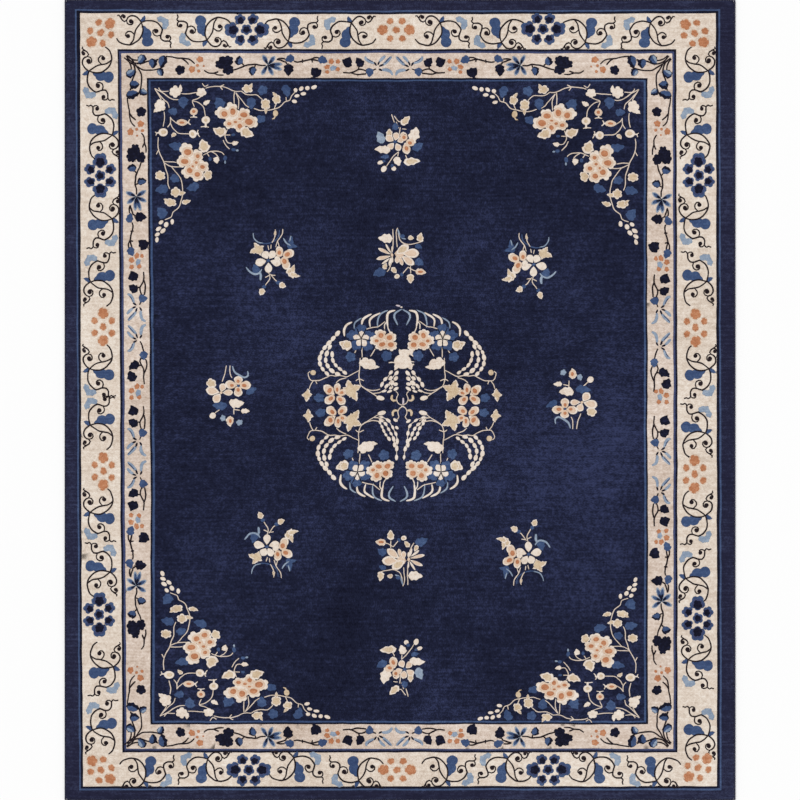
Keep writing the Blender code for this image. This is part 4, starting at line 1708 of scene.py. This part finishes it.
@dataclass
class KnottedPile:
    """The pile, cut yarn by yarn from the pattern into closed pads with sheared edges."""

    # How the pile's top waves: height and waves to the metre, slow ones and short ones.
    waves: ClassVar[tuple[Three, ...]] = ((0.00022, 3.1, 0.7), (0.00012, 11.0, 5.0))
    # Where the rounded edge of the pile has its points, in from the rug's outline.
    rim_insets: ClassVar[tuple[float, ...]] = (0.0, 0.0004, 0.0012)
    # In knots: outlines smaller than this are left out, and the plain grid keeps this clear of the seams.
    least_area: ClassVar[float] = 0.02
    clearance: ClassVar[float] = 2.0
    # How far the plain grid's rows and columns step aside, so that its triangles are well shaped.
    grid_step: ClassVar[Point] = (0.31, 0.27)

    width: float
    length: float
    base_height: float = 0.0028
    top_height: float = 0.0097
    rounding: float = 0.0030
    shear_width: float = 0.0009
    shear_depth: float = 0.0009
    grid_knots: float = 12.0
    corner_radius: float = 0.0080
    points: list[Point] = field(default_factory=list)
    grid_start: int = 0
    outlines: list[list[int]] = field(default_factory=list)
    yarns: list[Yarn] = field(default_factory=list)

    def pile_height(self, x: float, y: float) -> float:
        """How high the pile stands at a point, all lengths in metres."""
        inside = min(self.width / 2 - abs(x), self.length / 2 - abs(y))
        missing = max(0.0, self.rounding - max(0.0, inside))
        drop = self.rounding - math.sqrt(max(0.0, self.rounding ** 2 - missing ** 2))
        slow, short = (height * noise.noise(Vector((x * turns, y * turns, seed)))
                       for height, turns, seed in self.waves)
        return self.top_height + slow + short - drop

    def edge_outline(self, inset: float) -> Outline:
        """The rug's own outline with round corners, in knots, drawn in by a distance in metres."""
        half_x = self.width / 2 - inset
        half_y = self.length / 2 - inset
        radius = max(0.001, self.corner_radius - inset)
        made = []
        corners = ((1, 1), (-1, 1), (-1, -1), (1, -1))
        for quarter, (side_x, side_y) in enumerate(corners):
            for step in range(5):
                angle = math.pi / 2 * (quarter + step / 4)
                made.append((
                    (side_x * (half_x - radius) + radius * math.cos(angle)) / KNOT,
                    (side_y * (half_y - radius) + radius * math.sin(angle)) / KNOT,
                ))
            after = corners[(quarter + 1) % 4]
            start = made[-1]
            end_x = after[0] * (half_x - radius) if side_y == after[1] else after[0] * half_x
            end_y = after[1] * half_y if side_y == after[1] else after[1] * (half_y - radius)
            end = (end_x / KNOT, end_y / KNOT)
            count = round(math.dist(start, end) / self.grid_knots)
            dx, dy = end[0] - start[0], end[1] - start[1]
            made += [(start[0] + dx * i / count, start[1] + dy * i / count) for i in range(1, count)]
        return made

    def add(self, patch: Patch, hand: WeaversHand | None) -> None:
        """Add one outline over what is there.

        Args:
            patch: the outline, in knots.
            hand: how the point strays from its chart, or None where it doesn't.
        """
        outline = [hand.moved(*p) for p in patch.outline] if hand else list(patch.outline)
        area = sum(a[0] * b[1] - b[0] * a[1] for a, b in zip(outline, outline[1:] + outline[:1]))
        if abs(area) < self.least_area:
            return
        if area < 0:
            outline.reverse()
        first = len(self.points)
        self.points += outline
        self.outlines.append(list(range(first, first + len(outline))))
        self.yarns.append(patch.yarn)

    def cut(self, parts: list[list[Patch]], hand: WeaversHand) -> Cut:
        """Cut all the outlines into one triangulation.

        Args:
            parts: the bands, borders and field flowers, in the order that they lie.
            hand: how the points stray from their charts.

        Returns:
            The cut pattern.
        """
        for inset in (*self.rim_insets, self.rounding):
            self.add(Patch(Yarn.BAND, self.edge_outline(inset)), None)
        rims = len(self.outlines)
        for part in parts:
            for patch in part:
                self.add(patch, hand)
        field_ring = rims + len(Bands().rings) - 1
        columns = int(self.width / KNOT / self.grid_knots)
        rows = int(self.length / KNOT / self.grid_knots)
        self.grid_start = len(self.points)
        for i in range(1, columns):
            for j in range(1, rows):
                self.points.append((
                    (i - columns / 2) * self.grid_knots + self.grid_step[0] * (j % 3),
                    (j - rows / 2) * self.grid_knots + self.grid_step[1] * (i % 3),
                ))
        verts, _, faces, _, _, owners = delaunay_2d_cdt(
            [Vector(p) for p in self.points], [], self.outlines, 0, MERGE_GAP)
        labels = [(self.yarns[max(owner)], field_ring in owner) if owner else None for owner in owners]
        return self.seams_only(verts, faces, labels)

    def seams_only(self, verts: list[Vector], faces: list[list[int]],
                   labels: list[tuple[Yarn, bool] | None]) -> Cut:
        """Triangulate again with only the seams between yarns, so that no hidden outline is left in a pad.

        Args:
            verts: the first triangulation's points.
            faces: its triangles.
            labels: each triangle's yarn and whether it lies on the field, or None outside the rug.

        Returns:
            The cut pattern.
        """
        on_left = {}
        for face, label in zip(faces, labels):
            if label is not None:
                for edge in zip(face, (*face[1:], face[0])):
                    on_left[edge] = label
        seams = {edge for edge, label in on_left.items() if on_left.get((edge[1], edge[0])) != label}
        used = sorted({point for edge in seams for point in edge})
        compact = {point: i for i, point in enumerate(used)}
        points = [verts[point] for point in used]
        crowded = {(round(p.x / self.clearance), round(p.y / self.clearance)) for p in points}
        for x, y in self.points[self.grid_start:]:
            p = Vector((x, y))
            if (round(p.x / self.clearance), round(p.y / self.clearance)) not in crowded:
                points.append(p)
        sides = {(compact[a], compact[b]): on_left[(a, b)] for a, b in seams}
        edges = list({(min(edge), max(edge)) for edge in sides})
        verts, _, faces, sources, _, _ = delaunay_2d_cdt(points, edges, [], 0, SAME_POINT)
        source = [held[0] for held in sources]
        found: list[tuple[Yarn, bool] | None] = [None] * len(faces)
        touching = {}
        closed = set()
        waiting = []
        for index, face in enumerate(faces):
            for a, b in zip(face, (*face[1:], face[0])):
                edge = (source[a], source[b])
                touching[edge] = index
                if edge in sides:
                    if found[index] is None:
                        waiting.append(index)
                    found[index] = sides[edge]
                if edge in sides or (edge[1], edge[0]) in sides:
                    closed.add(edge)
        while waiting:
            index = waiting.pop()
            face = faces[index]
            for a, b in zip(face, (*face[1:], face[0])):
                edge = (source[a], source[b])
                beyond = touching.get((edge[1], edge[0]))
                if edge not in closed and beyond is not None and found[beyond] is None:
                    found[beyond] = found[index]
                    waiting.append(beyond)
        kept = [(face, label) for face, label in zip(faces, found) if label is not None]
        triangles = np.array([face for face, _ in kept])
        yarns = [yarn for _, (yarn, _) in kept]
        on_field = np.array([inside for _, (_, inside) in kept])
        return np.array([tuple(v) for v in verts]), triangles, yarns, on_field

    def pad(self, name: str, places: np.ndarray, triangles: np.ndarray, sheared: bool) -> Object:
        """One closed pad of pile.

        Args:
            name: the piece's name.
            places: all the pattern's points, in metres.
            triangles: the pad's own triangles.
            sheared: whether its edge is cut slanting. Lines one knot wide keep their whole top.

        Returns:
            The piece.
        """
        used, compact = np.unique(triangles, return_inverse=True)
        compact = compact.reshape(-1, 3)
        count = len(used)
        flat = places[used]
        top = [(x, y, self.pile_height(x, y)) for x, y in flat]
        low = [(x, y, self.base_height) for x, y in flat]
        tops = [tuple(t) for t in compact]
        bottoms = [(c + count, b + count, a + count) for a, b, c in compact]
        walls = [(a + count, b + count, b, a) for a, b in rim_edges(compact)]
        mesh = bpy.data.meshes.new(name)
        mesh.from_pydata(top + low, [], tops + bottoms + walls)
        if sheared:
            self.shear(mesh, len(compact))
        return new_object(name, mesh)

    def shear(self, mesh: Mesh, top_count: int) -> None:
        """Cut the upper edge of a pad slanting, as scissors do between two yarns.

        Args:
            mesh: the pad.
            top_count: how many of its faces, the first ones, are its top.
        """
        builder = bmesh.new()
        builder.from_mesh(mesh)
        builder.faces.ensure_lookup_table()
        tops = builder.faces[:top_count]
        outer = bmesh.ops.inset_region(builder, faces=tops, thickness=self.shear_width, depth=0.0,
                                       use_boundary=True, use_even_offset=False)["faces"]
        kept = {vert for face in tops for vert in face.verts}
        for vert in {vert for face in outer for vert in face.verts} - kept:
            vert.co.z -= self.shear_depth
        for face in tops:
            face.smooth = True
            for edge in face.edges:
                if any(other not in kept for linked in edge.link_faces for other in linked.verts):
                    edge.smooth = False
        builder.to_mesh(mesh)
        builder.free()


@dataclass
class GroundCloth:
    """The cotton ground with the knots' backs: a thin closed sheet under the pile."""

    thickness: float = 0.0027

    def build(self, places: np.ndarray, triangles: np.ndarray, yarns: list[Yarn]) -> Object:
        """Make the sheet, with the pattern on its underside.

        Args:
            places: all the pattern's points, in metres.
            triangles: the pattern's triangles.
            yarns: each triangle's yarn.

        Returns:
            The piece.
        """
        count = len(places)
        rim = rim_edges(triangles)
        after = dict(rim)
        loop = [rim[0][0]]
        while after[loop[-1]] != loop[0]:
            loop.append(after[loop[-1]])
        raised = {index: count + i for i, index in enumerate(loop)}
        verts = [(x, y, 0.0) for x, y in places] + [(*places[i], self.thickness) for i in loop]
        faces = [(c, b, a) for a, b, c in triangles]
        faces.append(tuple(raised[i] for i in loop))
        faces += [(a, b, raised[b], raised[a]) for a, b in rim]
        mesh = bpy.data.meshes.new("ground_cloth")
        mesh.from_pydata(verts, [], faces)
        order = list(Yarn)
        for yarn in order:
            mesh.materials.append(KnotBacks(yarn).material())
        indices = [order.index(yarn) for yarn in yarns]
        indices += [order.index(Yarn.BAND)] * (len(faces) - len(triangles))
        mesh.polygons.foreach_set("material_index", indices)
        return new_object("ground_cloth", mesh)


@dataclass(frozen=True)
class WrappedEdge:
    """An edge of the rug wound with yarn, turn beside turn."""

    node: str
    # Coarser than the real 3 mm turns, so that they show.
    turn_pitch: float = 1.5 * KNOT
    rings_a_turn: int = 4
    sides: int = 8
    ridge: float = 0.09
    fullness: float = 2.6
    # The share of its thickness that an edge starts from at its very end, and how far the yarn strays.
    end_share: float = 0.6
    stray: float = 0.02
    stray_waves: float = 90.0

    def build(self) -> Object:
        """Make the wound edge in the room that its solid holds.

        Returns:
            The piece.
        """
        low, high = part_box(self.node)
        size = high - low
        middle = (low + high) / 2
        runs_up = size.y > size.x
        length = size.y if runs_up else size.x
        half_wide = (size.x if runs_up else size.y) / 2
        half_tall = size.z / 2
        rings = round(length / self.turn_pitch * self.rings_a_turn)
        power = 2.0 / self.fullness
        verts = []
        for i in range(rings + 1):
            along = -length / 2 + length * i / rings
            from_end = min(i, rings - i) / self.rings_a_turn
            close = min(1.0, self.end_share + (1.0 - self.end_share) * from_end)
            for side in range(self.sides):
                angle = 2 * math.pi * side / self.sides
                turn = 2 * math.pi * along / self.turn_pitch
                bulge = (1 - self.ridge + self.ridge * math.cos(turn - angle)) * close
                bulge *= 1 + self.stray * noise.noise(Vector((along * self.stray_waves, side, 3.0)))
                cos, sin = math.cos(angle), math.sin(angle)
                across = math.copysign(abs(cos) ** power, cos) * half_wide * bulge
                up = math.copysign(abs(sin) ** power, sin) * half_tall * bulge
                if runs_up:
                    verts.append((middle.x + across, middle.y + along, middle.z + up))
                else:
                    verts.append((middle.x + along, middle.y - across, middle.z + up))
        faces = []
        for i in range(rings):
            for side in range(self.sides):
                a = i * self.sides + side
                b = i * self.sides + (side + 1) % self.sides
                faces.append((a, a + self.sides, b + self.sides, b))
        faces.append(tuple(range(self.sides)))
        faces.append(tuple(reversed(range(rings * self.sides, (rings + 1) * self.sides))))
        name = f"{self.node}_yarn"
        mesh = bpy.data.meshes.new(name)
        mesh.from_pydata(verts, [], faces)
        builder = bmesh.new()
        builder.from_mesh(mesh)
        bmesh.ops.recalc_face_normals(builder, faces=builder.faces)
        for face in builder.faces:
            face.smooth = len(face.verts) == 4
        builder.to_mesh(mesh)
        builder.free()
        mesh.materials.append(WrappedWool().material())
        return new_object(name, mesh)


@dataclass(frozen=True)
class Studio:
    """The pale floor, the soft light and the camera straight above the rug."""

    floor_size: float = 14.0
    floor_drop: float = 0.0004
    lens: float = 85.0
    sensor: float = 36.0
    # How much of the rug's length the picture leaves out, as the photo does, and the height of the pile.
    cropped: float = 0.0065
    pile_top: float = 0.010
    light_share: float = 0.45
    light_spread: float = 35.0
    light_tilt: float = 38.0
    paper_white: float = 0.98

    def build(self) -> None:
        """Set up the floor, the lights and the camera."""
        self.lay_floor()
        self.set_light()
        self.set_camera()

    def lay_floor(self) -> None:
        """Lay matt white paper under the rug."""
        mesh = bpy.data.meshes.new("studio_floor")
        half = self.floor_size / 2
        corners = [(-half, -half, 0.0), (half, -half, 0.0), (half, half, 0.0), (-half, half, 0.0)]
        mesh.from_pydata(corners, [], [(0, 1, 2, 3)])
        floor = new_object("studio_floor", mesh)
        floor.location.z = -self.floor_drop
        paper, shader, _ = new_material("white_paper")
        shader.inputs["Base Color"].default_value = (self.paper_white,) * 3 + (1.0,)
        set_gloss(shader, 1.0, 0.0)
        mesh.materials.append(paper)

    def set_light(self) -> None:
        """Set an even white surround and one soft window to the upper left."""
        world = bpy.data.worlds.new("studio")
        world.use_nodes = True
        sky = world.node_tree.nodes["Background"]
        sky.inputs["Color"].default_value = (1.0, 1.0, 1.0, 1.0)
        sky.inputs["Strength"].default_value = 1.0 - self.light_share
        bpy.context.scene.world = world
        sun = bpy.data.lights.new("soft_window", "SUN")
        sun.angle = math.radians(self.light_spread)
        tilt = math.radians(self.light_tilt)
        sun.energy = math.pi * self.light_share / math.cos(tilt)
        lamp = bpy.data.objects.new("soft_window", sun)
        lamp.rotation_euler = (-tilt * 0.7, -tilt * 0.7, 0.0)
        bpy.context.scene.collection.objects.link(lamp)

    def set_camera(self) -> None:
        """Hang the camera straight above the rug, so high that the rug's length fills the picture."""
        camera = bpy.data.cameras.new("camera")
        camera.type = "PERSP"
        camera.lens = self.lens
        camera.sensor_width = self.sensor
        camera.dof.use_dof = False
        eye = bpy.data.objects.new("camera", camera)
        eye.location = (0.0, 0.0, self.pile_top + (RUG_LENGTH - self.cropped) * self.lens / self.sensor)
        bpy.context.scene.collection.objects.link(eye)
        bpy.context.scene.camera = eye
        bpy.context.scene.view_settings.view_transform = "Standard"


def place_piece(piece: Object, slot: str, *nodes: str) -> Object:
    """Let a piece ride on the rug in place of its solids.

    Args:
        piece: the piece.
        slot: the record's material slot for the piece; not used.
        nodes: the solids that it stands for.

    Returns:
        The piece.
    """
    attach(piece, "root")
    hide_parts(*nodes)
    log.info("%s: %d triangles", piece.name, sum(len(p.vertices) - 2 for p in piece.data.polygons))
    return piece


def main() -> None:
    """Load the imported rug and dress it, piece by piece."""
    logging.basicConfig(level=logging.INFO, format="%(message)s")
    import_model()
    Studio().build()

    low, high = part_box("pile_body")
    pile = KnottedPile(width=high.x - low.x, length=high.y - low.y)
    parts = [Bands().patches(), MainBorder().patches(), InnerBorder().patches(), FieldFlowers().patches()]
    points, triangles, yarns, on_field = pile.cut(parts, WeaversHand())
    places = points * KNOT
    log.info("pattern: %d points, %d triangles", len(points), len(triangles))

    yarn_names = np.array([yarn.name for yarn in yarns])
    for yarn in Yarn:
        material = WoolPile(yarn).material()
        for zone in Zone:
            chosen = (yarn_names == yarn.name) & (on_field == (zone is Zone.FIELD))
            if not chosen.any():
                continue
            sheared = yarn not in (Yarn.VINE, Yarn.TWIG)
            pad = pile.pad(f"pile_{zone.value}_{yarn.value}", places, triangles[chosen], sheared)
            pad.data.materials.append(material)
            place_piece(pad, "pile_wool", "pile_body")
    for node in ("side_cord_left", "side_cord_right", "end_overcast_lower", "end_overcast_upper"):
        place_piece(WrappedEdge(node).build(), "edge_wool", node)
    cloth = GroundCloth().build(places, triangles, yarns)
    place_piece(cloth, "pile_wool", "pile_body")


if __name__ == "__main__":
    main()
